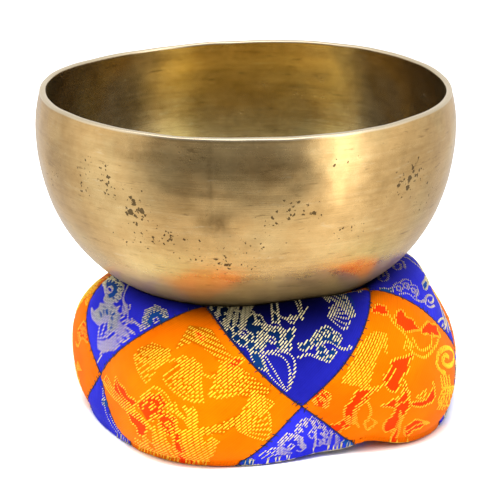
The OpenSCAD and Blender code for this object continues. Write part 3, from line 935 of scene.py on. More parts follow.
def bloom(lm, c, size, n=7, rot=0.0, rings=3, fill=True, squash=0.8):
    """Nested scalloped petals, open on one side."""
    c = np.array(c, float)
    for k in range(rings):
        f = 1 - 0.30 * k
        t = np.linspace(-0.75 * np.pi, 0.85 * np.pi, 110)
        rr = size * f * (0.86 + 0.20 * np.abs(np.sin(t * n / 2 + 0.6 * k)))
        p = turn(np.stack([rr * np.cos(t), rr * np.sin(t) * squash], -1), rot + 9 * k) + c
        if k == 0 and fill:
            lm.fill(p)
        lm.line(p)
    lm.line(spiral(c, size * 0.26, 1.2, rot), 0.36)


def rays(lm, c, r0_, r1_, a0, a1, n, curl=0.0, w=0.36, scal=True):
    """Ribs of a fan between two radii, closed by small arcs."""
    ends = []
    for a in np.linspace(a0, a1, n):
        t = np.linspace(0, 1, 18)
        b = np.radians(a + curl * t)
        rr = r0_ + (r1_ - r0_) * t
        p = np.stack([c[0] + rr * np.cos(b), c[1] + rr * np.sin(b)], -1)
        lm.line(p, w)
        ends.append(p[-1])
    if scal:
        for p, q in zip(ends[:-1], ends[1:]):
            lm.line(np.array([p, (p + q) / 2 + 0.25 * (p - np.array(c)) / r1_ * 2, q]))


def orange_front(lm):
    """Left of the front: plumes and a spray over plain satin, flame leaves along the lower edge."""
    flame(lm, (-22.0, -3.5), (-27.6, 6.0), 2.7, 0.35, inner=True)
    flame(lm, (-18.5, -12.5), (-25.5, -5.0), 2.2, -0.3)
    flame(lm, (-30.5, 2.5), (-31.5, 6.0), 1.2, 0.2)
    flame(lm, (-12.5, -18.5), (-18.8, -12.6), 1.8, 0.3, red=False)
    bloom(lm, (-16.0, -3.2), 4.9, 7, 35, 2)
    bloom(lm, (-10.8, -8.3), 3.7, 6, -60, 2)
    for off in (0.0, 1.25, 2.4):
        vine(lm, [(-34 + off, 4.5), (-28.5 + off, -1.5), (-22 + off, -6.5), (-14 + off, -12.0 - off), (-6 + off, -18.5 - off), (3 + off, -25)])
    vine(lm, [(-20, -1), (-15.5, 3.0), (-11.0, 0.5), (-9.5, -4.0)], [(0.9, 1.8, 1, 0)])
    # the spray in the middle
    for pts in ([(-3, -10.2), (-5, -7), (-8, -4.6)], [(-3, -10.2), (-3.4, -6.2), (-5.2, -3.2)], [(-3, -10.2), (-1.8, -6.4), (-2.8, -3.4)],
                [(-3, -10.2), (-6, -11.2), (-8.6, -9.6)], [(-3, -10.2), (-0.6, -13.6), (2.2, -15.2), (2.4, -18.2)], [(-3, -10.2), (-4.8, -13.4), (-7.6, -14.0)]):
        vine(lm, pts, w=0.75)
    for k in range(3):
        vine(lm, [(-2.4, -10.2 - 0.9 * k), (3.5, -9.6 - 0.5 * k), (9, -8.8 + 0.5 * k), (13.5, -6.0 + 0.6 * k)], w=0.5)
    lm.dense([(-1, -9.6), (5, -8.4), (13, -4.8), (13.8, -7.4), (7, -11.6), (0, -12.0)], 0.9, 1.5, 0.7)
    rays(lm, (9.5, -8.8), 2.5, 12.5, -34, 46, 10, 10)
    # the great plume that fills the upper half
    lm.dense([(-21.5, 15.2), (-16, 17.6), (-9, 15.0), (-12, 12.4), (-17, 11.4), (-20, 12.2)], 1.0, 1.45, 0.8)
    rays(lm, (-7.5, 15.0), 3.0, 14.5, 176, 214, 7, 12)
    lm.dense([(-9, 15.2), (-4, 23.0), (3, 22.0), (9, 14.6), (14.5, 8.2), (8.5, 8.8), (2.5, 14.6), (-3, 17.5)], 1.25, 1.75, 0.45)
    rays(lm, (0.5, 13.5), 3.0, 14.5, 200, 262, 10, 8)
    lm.dense([(-8.5, 11.5), (-2.0, 13.2), (0.6, 8.0), (-2.0, 2.2), (-7.0, 0.4), (-11.5, 6.0)], 1.0, 1.5, 0.8, 2)
    rays(lm, (6.5, 12.5), 2.0, 12.0, 262, 330, 9, -12)
    lm.dense([(3.0, 8.5), (14.2, 9.0), (22.5, 2.5), (20.5, 0.0), (13.5, 0.2), (6.5, 4.0)], 1.1, 1.6, 0.6)
    flame(lm, (8.5, 9.0), (14.0, 12.4), 1.7, 0.2)
    flame(lm, (1.5, 18.5), (-2.2, 21.8), 1.2, 0.2)
    vine(lm, [(-22, 13), (-15, 10.4), (-8.5, 12.0), (-3, 10), (2.5, 6.8), (9.5, 7.4)], [(0.2, 1.6, 1, 0), (0.5, 1.8, -1, 80)])
    rays(lm, (16.5, 2.5), 0.8, 7.5, 262, 320, 7, 10)
    # the band at the lower edge
    for k in range(3):
        vine(lm, [(-22, -14.0 - k), (-17.5, -16.2 - k), (-12.5, -19.6 - k), (-9.0, -22.6 - k)], w=0.5)
    bloom(lm, (-1.5, -21.8), 2.6, 5, 20, 2, fill=False)
    flame(lm, (-7.5, -25.0), (-2.5, -24.0), 1.3, 0.2)


def orange_right(lm):
    """Right of the front: a nested fan, and long flame leaves in thin gold lines."""
    for k in range(8):
        f = k / 7
        vine(lm, [(-13.8 + 8.0 * f, 1.0 - 1.6 * f), (-10.4 + 6.5 * f, 7.6 - 1.6 * f), (-7.6 + 6.0 * f, 13.0 - 1.2 * f), (-3.6 + 4.0 * f, 16.6 - 2.8 * f), (0.6 - 0.2 * f, 16.2 - 8 * f)][: 5 - (k > 5)], w=0.5)
    lm.dense([(-11, 8), (-5.5, 16.5), (-1, 17), (-4.0, 10.0), (-8.0, 5.0)], 1.0, 1.5, 0.7)
    flame(lm, (1.6, -2.0), (10.6, 9.6), 3.4, 0.25)
    flame(lm, (0.6, -15.6), (5.6, 1.6), 2.5, -0.35)
    flame(lm, (8.2, -2.2), (-1.6, -6.4), 1.6, 0.3)
    flame(lm, (-12.4, -12.0), (-0.4, -1.2), 2.4, 0.35)
    flame(lm, (-17.2, -15.0), (-9.8, -9.2), 1.8, -0.2)
    flame(lm, (-6.0, -14.0), (-2.2, -12.4), 1.6, 0.4, red=False)
    flame(lm, (9.0, -7.0), (15.4, 1.2), 1.5, -0.8)
    flame(lm, (10.8, -4.5), (13.4, -1.4), 0.8, -0.6, red=False)
    flame(lm, (7.0, -16.8), (15.6, -13.6), 1.9, 0.3, inner=True)
    flame(lm, (2.8, -20.2), (9.0, -18.2), 1.6, -0.3)
    bloom(lm, (-20.5, -4.5), 3.2, 5, 60, 2)
    flame(lm, (4.0, 23.0), (12.6, 18.0), 2.6, -0.3)
    flame(lm, (13.0, 18.0), (19.4, 14.6), 2.4, 0.25)
    flame(lm, (-3.6, 24.6), (1.6, 22.0), 1.8, 0.3)
    vine(lm, [(1.0, 24), (3.4, 19.5), (7.4, 15.6), (9.0, 11.0), (13.4, 8.6), (17.4, 11.8), (19.6, 16.0)], [(0.45, 1.8, 1, 180)])
    vine(lm, [(9.6, 15.0), (12.0, 11.0), (15.8, 12.2), (16.6, 16.2)])
    vine(lm, [(-16.0, -17), (-9.5, -9.0), (-6.0, -3.2), (0.4, 0.6), (3.8, 5.0)], [(0.2, 2.0, 1, 0)])
    vine(lm, [(-8.4, -13.6), (-10.0, -8.6), (-6.4, -4.8), (-4.4, -9.0), (-6.6, -13.0)])
    lm.line(spiral((22.0, 7.5), 4.6, 1.6, 40, 1), 0.75)
    for k in range(4):
        vine(lm, [(19.4 + k, 2.0), (20.0 + k, -4.0), (18.0 + k, -9.0)], w=0.5)
    rays(lm, (23, 0), 2.0, 8.0, 220, 300, 7, 14)


def blue_front(lm):
    """Blue over the front: petal clusters filled with teal, leaves, and a cloud."""
    petals(lm, (-13.0, -7.4), 7.6, 6, 60)
    petals(lm, (-13.4, -7.8), 3.6, 4, 240, inner=False)
    petals(lm, (-3.8, -9.6), 4.8, 4, 80)
    petals(lm, (-21.5, -1.5), 4.2, 4, 70, inner=False)
    flame(lm, (0.4, -12.6), (3.8, -5.8), 2.2, 0.3)
    flame(lm, (5.0, -12.4), (9.0, -8.8), 1.5, -0.3)
    # two long leaves, one inside the other, that hang into the tip
    for w_, k_ in ((4.2, 0.0), (2.2, 1.4)):
        t = np.linspace(0, 1, 30)
        mid = np.stack([-6.5 + 13.0 * t - 5.5 * t * t, -13.6 - 12.4 * t + 2.5 * t * (1 - t) * 4], -1)
        side_ = np.stack([w_ * np.sin(np.pi * t) ** 0.8, 0.5 * w_ * np.sin(np.pi * t) ** 0.8], -1)
        lm.line(np.concatenate([mid + side_, (mid - side_)[::-1]]) + [0, -0.2 * k_])
    flame(lm, (-9.6, -12.0), (-4.4, -19.2), 1.9, -0.4)
    cloud(lm, (14.2, -9.6), 3.3, -8, 1)
    petals(lm, (13.6, -13.4), 3.2, 4, 250, inner=False)
    rays(lm, (13.0, -0.6), 2.0, 8.4, -50, 30, 7, 8)
    vine(lm, [(4.4, -15.2), (8.0, -14.2), (12.0, -15.6), (15.0, -14.6)])
    vine(lm, [(-4, 0.0), (0, -2.6), (4.6, -2.0), (7.6, 1.0)], [(0.5, 1.8, 1, 0)])
    for x_, y_ in ((-20, 12), (-6, 16), (9, 14), (22, 12)):
        petals(lm, (x_, y_), 6.0, 7, x_ * 5, arc=300)
    leaf(lm, (-14, 6), 9, 2.4, 40, 5)
    leaf(lm, (1, 6), 9, 2.4, 10, 5)


def blue_left(lm):
    """Blue at the left of the front: close-set cream foliage at its outer side and a plain space."""
    for c, r_, rot, red in (((-14.0, 0.5), 4.6, 10, True), ((-15.0, -9.0), 4.8, 60, True), ((-12.5, 8.0), 3.6, 120, False)):
        petals(lm, c, r_, 5, rot, fill=red)
    for a in np.arange(-70, 130, 22):
        q = np.array([-14.5, -13.0]) + 3.0 * np.array([np.cos(np.radians(a)), np.sin(np.radians(a))])
        flame(lm, q, q + 6.4 * np.array([np.cos(np.radians(a)), np.sin(np.radians(a))]), 0.9, 0.25, red=False)
    rays(lm, (-17.5, -21.0), 2.0, 12.0, 28, 96, 8, -10)
    vine(lm, [(-18, -24), (-14.5, -15), (-14, -6), (-16, 4), (-12, 12)], w=0.5)
    vine(lm, [(-9.5, -14), (-7.4, -8), (-9.2, -2), (-6.6, 4)], [(0.5, 1.6, 1, 0), (0.95, 1.6, -1, 0)])
    petals(lm, (2.0, -9.0), 4.4, 5, 90)
    petals(lm, (8.0, -11.6), 3.2, 4, 90, inner=False)
    flame(lm, (-3, -11), (2, -15), 1.2, -0.3, red=False)
    vine(lm, [(-6, -9), (-3, -11), (3, -13), (9, -9)], [(0.4, 1.6, 1, 0)])
    bloom(lm, (4, 12), 6, 7, 10, 3)


def blue_curls(lm):
    """Blue at the right: curling clouds, and close lines along the outer edge."""
    cloud(lm, (0.5, -2.0), 3.1, -14, 1, fill=False)
    for c, r_, a_, h_ in (((-7.5, 3.0), 2.2, 0, 1), ((-2.0, 6.5), 2.4, 90, -1), ((8.6, -5.0), 2.4, 200, 1), ((12.8, -13.0), 2.2, 0, -1), ((-10.0, -3.0), 1.8, 90, 1)):
        lm.line(spiral(c, r_, 1.3, a_, h_))
    for k in range(3):
        vine(lm, [(-10 + k, 8.5 + k), (-2 + k, 10.2 + k), (5 + k, 6.2 + k), (10 + k, -0.5 + k), (13 + k, -8), (14.4 + k, -16)])
    vine(lm, [(-12, -6.4), (-5, -7.6), (2, -8.6), (7.4, -11.4), (10.4, -17.0)])
    vine(lm, [(-12, -5.2), (-5, -6.2), (2.6, -7.2), (8.4, -10.2), (11.6, -16.0)])
    bloom(lm, (4.2, 11.8), 3.0, 6, 20, 2)
    flame(lm, (6.6, -1.4), (11.0, 3.0), 1.2, 0.3)
    flame(lm, (-4.6, -1.4), (-8.6, -0.4), 1.0, 0.3)


def blue_low(lm):
    """Blue under the front corner: a ribbed cloud of petals, and blossoms at the floor."""
    petals(lm, (3.0, -1.0), 5.2, 6, 60, fill=False)
    petals(lm, (-3.4, -5.0), 4.2, 5, 100, fill=False)
    for k in range(4):
        vine(lm, [(-13.5 + 0.8 * k, -8.0 - 0.9 * k), (-9 + 0.6 * k, -5.6 - 1.0 * k), (-4.0 + 0.6 * k, -6.2 - 1.1 * k)])
    petals(lm, (15.4, -7.6), 4.0, 5, 110, inner=False)
    petals(lm, (8.0, -12.2), 3.8, 5, 90, fill=False)
    petals(lm, (-17.0, -13.0), 4.0, 5, 80)


def blue_low_left(lm):
    """Blue under the left corner: close cream ribs."""
    for k in range(7):
        vine(lm, [(-7.5 + 0.9 * k, 13.0 - 1.2 * k), (-5.6 + 1.5 * k, 3.0 - 0.9 * k), (0.5 + 1.9 * k, -5.2 - 0.9 * k), (9 + 2.1 * k, -11.5 - 0.7 * k)], w=0.42)
    bloom(lm, (2.0, 1.0), 2.6, 5, 0, 2)
    bloom(lm, (-5.6, 8.0), 2.2, 5, 60, 2)
    flame(lm, (9.0, -5.0), (14.0, -9.0), 1.2, 0.3)


def scrolls(lm, r, blue=False):
    """The rest of the bolt: scrolls, leaves, blossoms and fans, cut differently each time."""
    off = r.uniform(-7, 7, 2)
    flip = r.choice([-1, 1])
    rot = r.choice([0, 90, 180, 270]) + r.uniform(-8, 8)
    P = lambda x, y: turn(np.array([[x * flip, y]]), rot)[0] + off
    R = lambda a: (180 - a if flip < 0 else a) + rot
    petals(lm, P(-9, 6), 8.0, 8, R(10), arc=315)
    for a in (20, 95, 170, 250, 310):
        q = P(-9 + 8.6 * np.cos(np.radians(a)), 6 + 7.8 * np.sin(np.radians(a)))
        flame(lm, q, q + 6.8 * np.array([np.cos(np.radians(R(a))), np.sin(np.radians(R(a)))]), 1.7, 0.3, red=a != 95)
    rays(lm, P(9, -5), 3, 14, R(5), R(75), 12, 14)
    rays(lm, P(9, -5), 2, 9, R(-190), R(-120), 8, -14)
    lm.dense(np.array([P(9, -5), P(19, -2), P(22, 5), P(13, 4)]), 1.0, 1.5, 0.7)
    cloud(lm, P(7, 14), 3.4, R(15), flip)
    cloud(lm, P(-15, -12), 3.7, R(-30), flip)
    cloud(lm, P(20, -17), 3.4, R(160), -flip)
    petals(lm, P(-22, 19), 5.6, 6, R(40), arc=280)
    petals(lm, P(19, 21), 6.0, 6, R(0), arc=280)
    bloom(lm, P(-2, -22), 6.0, 7, R(70), 3)
    leaf(lm, P(-3, -14), 9.5, 2.3, R(20), 5)
    leaf(lm, P(4, -20), 8.0, 1.8, R(-35), 4, solid=True)
    leaf(lm, P(-21, -3), 8.5, 2.2, R(250), 5)
    leaf(lm, P(1, 21), 8.0, 1.9, R(60), 4)
    vine(lm, [P(-26, -22), P(-19, -17), P(-9, -19), P(-2, -10), P(6, -3), P(4, 6), P(-1, 13), P(-6, 22)],
         [(0.15, 2.6, 1, 20), (0.42, 2.8, -1, 200), (0.62, 2.4, 1, 90), (0.85, 2.7, -1, 10)])
    vine(lm, [P(24, 6), P(17, 3), P(14, 8), P(18, 13), P(25, 13)], [(0.3, 2.2, 1, 0), (0.8, 2.2, -1, 120)])
    waves(lm, P(20, -4), 5.0, 4, R(-60))
    waves(lm, P(-22, 8), 4.2, 3, R(80))


# drawings made as the front view sees them: the function, and the middle of its drawing in mm right and up
DRAWN = {"outer_diamond_1": (orange_front, (-15.0, 4.4)), "outer_diamond_2": (orange_right, (44.2, 8.1)),
         "top_diamond_1": (blue_front, (11.6, 32.5)), "top_diamond_5": (blue_left, (-32.0, 38.0)),
         "top_diamond_2": (blue_curls, (52.1, 40.0)), "bottom_diamond_1": (blue_low, (17.2, -6.6)),
         "bottom_diamond_5": (blue_low_left, (-41.0, -6.6))}


def figures(name, seed, a0, s0):
    if name in DRAWN:
        draw, centre = DRAWN[name]
        lm = Loom(SIDE_MM, front_lay(a0, s0, np.array(centre)))
        draw(lm)
    else:
        lm = Loom(SIDE_MM)
        scrolls(lm, np.random.default_rng(seed))
    return lm


def floats(runs, lm, place, height=0.17, width=0.46):
    """Raised weft floats as closed spindles. place(x, y, up) gives points on the cloth."""
    V, F4, F3 = [], [], []
    byn = {}
    for r, x0, x1 in runs:
        n = int(np.clip(np.ceil((x1 - x0) / 0.5), 2, 6))
        byn.setdefault(n, []).append((lm.y[r], x0, x1))
    base = 0
    for n, items in byn.items():
        it = np.array(items)
        m = len(it)
        t = np.linspace(0.16, 0.84, n)
        prof_ = np.sin(np.pi * np.linspace(0.22, 0.78, n)) ** 0.5
        xs = it[:, 1:2] + (it[:, 2:3] - it[:, 1:2]) * t
        xs[:, 0], xs[:, -1] = it[:, 1] + 0.10, it[:, 2] - 0.10
        ys = np.repeat(it[:, 0:1], n, 1)
        rings = []
        for dy, up in ((-0.5, -0.02), (0.0, 1.0), (0.5, -0.02), (0.0, -0.55)):
            rings.append(np.stack([xs, ys + dy * width * prof_, np.full_like(xs, 0) + up * height * (prof_ if up > 0 else 1)], -1))
        ring = np.stack(rings, 2)                       # m, n, 4, 3
        ends = np.stack([np.stack([it[:, 1], it[:, 0], np.full(m, -0.02)], -1), np.stack([it[:, 2], it[:, 0], np.full(m, -0.02)], -1)], 1)
        allp = np.concatenate([ring.reshape(m, -1, 3), ends], 1)      # m, 4n+2
        k = 4 * n + 2
        V.append(allp.reshape(-1, 3))
        ids = base + np.arange(m)[:, None, None] * k
        a, q = np.meshgrid(np.arange(n - 1), np.arange(4), indexing="ij")
        f = np.stack([a * 4 + q, (a + 1) * 4 + q, (a + 1) * 4 + (q + 1) % 4, a * 4 + (q + 1) % 4], -1).reshape(-1, 4)
        F4.append((ids + f[None]).reshape(-1, 4))
        q = np.arange(4)
        e0 = np.stack([np.full(4, 4 * n), q, (q + 1) % 4], -1)
        e1 = np.stack([np.full(4, 4 * n + 1), 4 * (n - 1) + (q + 1) % 4, 4 * (n - 1) + q], -1)
        F3.append((ids + np.concatenate([e0, e1])[None]).reshape(-1, 3))
        base += m * k
    V = np.concatenate(V)
    return place(V[:, 0], V[:, 1], V[:, 2]), np.concatenate(F4), np.concatenate(F3)


# ------------------------------------------------------------------ cloth materials
def silk(name, base_hex, light_hex, deep_hex):
    m, nt, p = new_mat(name)
    uv = node(nt, "ShaderNodeUVMap", uv_map="cloth")
    sep = nt.nodes.new("ShaderNodeSeparateXYZ")
    link(nt, uv.outputs["UV"], sep.inputs[0])
    # fill colours of the brocade, times the painted shadow of the bowl and painted shade under dense gold
    att = node(nt, "ShaderNodeAttribute", attribute_name="fill_and_shade")
    vec = mapped(nt, (1, 1, 1))
    slub = nt.nodes.new("ShaderNodeMapping")
    slub.inputs["Scale"].default_value = (6, 420, 1)
    link(nt, uv.outputs["UV"], slub.inputs["Vector"])
    streak = noise(nt, slub.outputs["Vector"], 1.0, 3.0, 0.6)
    big = noise(nt, vec, 60.0, 3.0, 0.5)
    ground = ramp(nt, big, [(0.30, srgb(deep_hex)), (0.5, srgb(base_hex)), (0.72, srgb(light_hex))])
    ground = mix(nt, 0.5, ground, srgb(base_hex))
    col = mix(nt, 1.0, ground, att.outputs["Color"], "MULTIPLY")
    shade = ramp(nt, streak, [(0.25, (0.80,) * 3), (0.55, (1.0,) * 3), (0.8, (1.10,) * 3)])
    col = mix(nt, 1.0, col, shade, "MULTIPLY")
    # the weave: satin floats of the warp across fine weft rows
    wx = math_node(nt, "SINE", math_node(nt, "MULTIPLY", sep.outputs[0], 2 * math.pi * 200))
    wy = math_node(nt, "SINE", math_node(nt, "MULTIPLY", sep.outputs[1], 2 * math.pi * 74))
    tw = math_node(nt, "SINE", math_node(nt, "MULTIPLY", math_node(nt, "ADD", sep.outputs[0], math_node(nt, "MULTIPLY", sep.outputs[1], 0.4)), 2 * math.pi * 150))
    h = math_node(nt, "ADD", math_node(nt, "MULTIPLY", wx, 0.25), math_node(nt, "MULTIPLY", wy, 0.35))
    h = math_node(nt, "ADD", h, math_node(nt, "MULTIPLY", tw, 0.25))
    h = math_node(nt, "ADD", h, math_node(nt, "MULTIPLY", streak, 0.8))
    # painted shade: the colour is a little darker in the hollows between the weft rows
    painted_row_shade = math_node(nt, "MULTIPLY_ADD", wy, 0.045)
    nt.nodes[-1].inputs[2].default_value = 0.97
    dm = nt.nodes.new("ShaderNodeCombineColor")
    for i in range(3):
        link(nt, painted_row_shade, dm.inputs[i])
    col = mix(nt, 1.0, col, dm.outputs[0], "MULTIPLY")
    link(nt, col, p.inputs["Base Color"])
    rough = math_node(nt, "MULTIPLY_ADD", streak, 0.15)
    nt.nodes[-1].inputs[2].default_value = 0.46
    link(nt, rough, p.inputs["Roughness"])
    p.inputs["Specular IOR Level"].default_value = 0.025
    p.inputs["Specular Tint"].default_value = (*srgb(light_hex), 1)
    p.inputs["Sheen Weight"].default_value = 0.0
    p.inputs["Sheen Roughness"].default_value = 0.4
    p.inputs["Anisotropic"].default_value = 0.3
    bump = node(nt, "ShaderNodeBump", inputs={"Strength": 0.35, "Distance": 0.00006})
    link(nt, h, bump.inputs["Height"])
    link(nt, bump.outputs["Normal"], p.inputs["Normal"])
    return m


def thread_mat(name, a_hex, b_hex, metallic, rough, seed=0.0, sheen=0.1):
    m, nt, p = new_mat(name)
    vec = mapped(nt, (1, 1, 1), (seed, seed * 2, 0))
    n1 = noise(nt, vec, 900.0, 2.0, 0.6)
    n2 = noise(nt, vec, 45.0, 2.0, 0.5)
    col = ramp(nt, math_node(nt, "ADD", math_node(nt, "MULTIPLY", n1, 0.6), math_node(nt, "MULTIPLY", n2, 0.4)),
               [(0.30, srgb(a_hex)), (0.62, srgb(b_hex))])
    link(nt, col, p.inputs["Base Color"])
    p.inputs["Metallic"].default_value = metallic
    r = math_node(nt, "MULTIPLY_ADD", n1, 0.2)
    nt.nodes[-1].inputs[2].default_value = rough
    link(nt, r, p.inputs["Roughness"])
    p.inputs["Sheen Weight"].default_value = sheen
    bump = node(nt, "ShaderNodeBump", inputs={"Strength": 0.3, "Distance": 0.00004})
    link(nt, noise(nt, vec, 2600.0, 1.0, 0.5), bump.inputs["Height"])
    link(nt, bump.outputs["Normal"], p.inputs["Normal"])
    return m


ORANGE = silk("orange_silk", "E26A02", "EE7C02", "D45A00")
BLUE = silk("blue_silk", "2A2CC4", "3438DC", "1C1CA0")
GOLD_O = thread_mat("gold_weft", "E8AC04", "FFD628", 0.12, 0.40, 1.0, 0.0)
GOLD_B = thread_mat("pale_gold_weft", "B8A870", "F0E4B0", 0.10, 0.42, 2.0, 0.0)
THREAD = thread_mat("seam_thread_mat", "0E0C18", "2A2433", 0.0, 0.6, 3.0)
BACK = thread_mat("cloth_back", "8A5A2A", "A87038", 0.0, 0.8, 4.0)

ORANGE_FILL = np.array(srgb("EA3A0E")) / np.array(srgb("E66C04"))
BLUE_FILL = np.array(srgb("1A4C98")) / np.array(srgb("2A2CC4"))


def point_in(poly, x, y):
    res = np.zeros(x.shape, bool)
    x1, y1 = poly[:, 0], poly[:, 1]
    lo, hi = poly.min(0) - 0.1, poly.max(0) + 0.1
    box = (x > lo[0]) & (x < hi[0]) & (y > lo[1]) & (y < hi[1])
    if not box.any():
        return res
    xs, ys = x[box], y[box]
    r = np.zeros(xs.shape, bool)
    for a, b, c, d in zip(x1, y1, np.roll(x1, -1), np.roll(y1, -1)):
        if b == d:
            continue
        cr = (b > ys) != (d > ys)
        r ^= cr & (xs < (c - a) * (ys - b) / (d - b) + a)
    res[box] = r
    return res


EDGE = 0.9945


def patch_piece(name, cad, a0, s0, silk_mat, gold_mat, fill_rgb, dense_shade_rgb, seed, n, swap):
    """One diamond: a closed shell of silk, and the brocade's raised floats on it."""
    w = np.linspace(-1, 1, n + 1)
    # closer rows near the edges, where the seam turns the cloth in
    w = np.sign(w) * (1 - (1 - np.abs(w)) ** 1.25) * EDGE
    U, V = np.meshgrid(w, w, indexing="ij")

    def coords(u, v):
        return a0 + PITCH / 2 * (u - v) / 2, s0 + (u + v) / 2

    a, s = coords(U, V)
    top_p, nn = skin(a, s)
    under, _ = skin(a, s, -0.55)
    flat_uv = np.stack([V if swap else U, U if swap else V], -1).reshape(-1, 2) * 0.5 + 0.5
    m = (n + 1) ** 2
    i, j = np.meshgrid(np.arange(n), np.arange(n), indexing="ij")
    at = lambda p, q: p * (n + 1) + q
    top_f = np.stack([at(i, j), at(i, j + 1), at(i + 1, j + 1), at(i + 1, j)], -1).reshape(-1, 4)
    # outward check on the middle face
    c = top_f[len(top_f) // 2 + n // 2]
    P = top_p.reshape(-1, 3)
    fn = np.cross(P[c[1]] - P[c[0]], P[c[2]] - P[c[1]])
    if fn @ nn.reshape(-1, 3)[c[0]] < 0:
        top_f = top_f[:, ::-1]
        sgn = -1
    else:
        sgn = 1
    bot_f = top_f[:, ::-1] + m
    k = np.arange(n)
    rim = []
    for p, q in ((at(k, 0 * k), at(k + 1, 0 * k)), (at(k + 1, 0 * k + n), at(k, 0 * k + n)),
                 (at(0 * k, k + 1), at(0 * k, k)), (at(0 * k + n, k), at(0 * k + n, k + 1))):
        e = np.stack([p, q, q + m, p + m], -1)
        rim.append(e if sgn > 0 else e[:, ::-1])
    rim = np.concatenate(rim)
    lm = figures(name, seed, a0, s0)
    xm = (V if swap else U) * SIDE_MM
    ym = (U if swap else V) * SIDE_MM
    fill_and_shade = np.ones((m, 3))
    # painted shadow of the bowl: the cloth is darkened the closer it lies under the bowl, most on the front of the top
    # patches
    q_ = np.hypot(P[:, 0] - BX, P[:, 1])
    gap_ = np.where(q_ < BR - 0.6, under_bowl(q_), 200.0) - P[:, 2]
    front_ = np.exp(-(((np.degrees(np.arctan2(P[:, 0] - BX, -P[:, 1])) - 10) / 36) ** 4))
    if name.startswith("top"):
        shade_ = front_ * (0.06 + 0.56 * smooth(gap_, 3.0, 50.0)) + (1 - front_) * (0.72 + 0.28 * smooth(gap_, 0.0, 8.0))
    else:
        shade_ = 0.50 + 0.50 * smooth(gap_, 0.0, 11.0)
    # fill colours of the figures; under dense gold the ground is darkened as painted shade between the floats
    for poly, what in sorted(lm.fills, key=lambda q: -q[1]):
        fill_and_shade[point_in(poly, xm.ravel(), ym.ravel())] = fill_rgb if what == 1 else dense_shade_rgb
    # the painted shadow of the bowl, multiplied into the fill colours
    fill_and_shade *= shade_[:, None]
    ob = make(name, np.concatenate([P, under.reshape(-1, 3)]), [top_f, bot_f, rim], [silk_mat],
              attrs={"fill_and_shade": ("POINT", np.concatenate([fill_and_shade, fill_and_shade]))}, uv=np.concatenate([flat_uv, flat_uv]))
    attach(ob, "cushion")
    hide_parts(cad)

    def place(x, y, up):
        u, v = (y, x) if swap else (x, y)
        u, v = u / SIDE_MM, v / SIDE_MM
        aa, ss = coords(u, v)
        p_, _ = skin(aa, ss, up)
        return p_

    lim = EDGE * SIDE_MM - 0.35
    runs = [(r, max(x0, -lim), min(x1, lim)) for r, x0, x1 in lm.runs() if abs(lm.y[r]) < lim]
    runs = [q for q in runs if q[2] - q[1] > 0.3]
    v, f4, f3 = floats(runs, lm, place)
    g = make(name + "_weft", v, [f4, f3], [gold_mat])
    g.parent = ob
    return len(runs)


total = 0
for k in range(NROW):
    ao, ab = TURN + PITCH * k, TURN + PITCH * (k + 0.5)
    big, small = ((92, 60))
    # the last colour in each call is the painted shade of the ground under dense gold
    total += patch_piece(f"outer_diamond_{k + 1}", f"outer_patch_{k + 1}", ao, 0, ORANGE, GOLD_O, ORANGE_FILL, (0.62, 0.72, 0.5), 101 + k, big, False)
    total += patch_piece(f"top_diamond_{k + 1}", f"top_patch_{k + 1}", ab, 1, BLUE, GOLD_B, BLUE_FILL, (0.55, 0.6, 0.62), 201 + k, big, False)
    total += patch_piece(f"inner_diamond_{k + 1}", f"inner_patch_{k + 1}", ao, 2, ORANGE, GOLD_O, ORANGE_FILL, (0.62, 0.72, 0.5), 301 + k, small, False)
    total += patch_piece(f"bottom_diamond_{k + 1}", f"bottom_patch_{k + 1}", ab, 3, BLUE, GOLD_B, BLUE_FILL, (0.55, 0.6, 0.62), 401 + k, small, False)
print("FLOATS", total)

# ------------------------------------------------------------------ stuffing core, closed inside the cloth
ca, cs = np.meshgrid(np.arange(0, 360, 4.0), np.arange(0, 4, 1 / 16), indexing="ij")
core = ring_base(ca, cs, 2.6, clamp=False)
core[..., 2] = np.clip(core[..., 2], 2.0, None)
core[..., 2] = np.minimum(core[..., 2], under_bowl(np.hypot(core[..., 0] - BX, core[..., 1])) - 2.4)
na, ns = ca.shape
p, q = np.meshgrid(np.arange(na), np.arange(ns), indexing="ij")
cf = np.stack([p * ns + q, ((p + 1) % na) * ns + q, ((p + 1) % na) * ns + (q + 1) % ns, p * ns + (q + 1) % ns], -1).reshape(-1, 4)
stuff = make("fibre_core", core.reshape(-1, 3), [cf], [thread_mat("fibre", "CFC8B8", "EFEBDF", 0.0, 0.9, 5.0)])
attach(stuff, "cushion")
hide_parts("ring_stuffing")


# ------------------------------------------------------------------ seam thread with its stitches
def tube(path, r, sides=6):
    path = np.asarray(path, float)
    n = len(path)
    t = np.gradient(path, axis=0)
    t /= np.linalg.norm(t, axis=1)[:, None] + 1e-12
    ref = np.array([0.31, 0.42, 0.85])
    x = np.cross(t, ref)
    x /= np.linalg.norm(x, axis=1)[:, None]
    y = np.cross(t, x)
    rr = np.full(n, r) if np.isscalar(r) else np.asarray(r)
    a = np.linspace(0, 2 * np.pi, sides, endpoint=False)
    v = path[:, None] + rr[:, None, None] * (np.cos(a)[None, :, None] * x[:, None] + np.sin(a)[None, :, None] * y[:, None])
    i, j = np.meshgrid(np.arange(n - 1), np.arange(sides), indexing="ij")
    f = np.stack([i * sides + j, i * sides + (j + 1) % sides, (i + 1) * sides + (j + 1) % sides, (i + 1) * sides + j], -1).reshape(-1, 4)
    k = np.arange(1, sides - 1)
    c0 = np.stack([0 * k, k + 1, k], -1)
    c1 = np.stack([0 * k, k, k + 1], -1) + (n - 1) * sides
    return v.reshape(-1, 3), f, np.concatenate([c0, c1])


tv, t4, t3, tb = [], [], [], 0


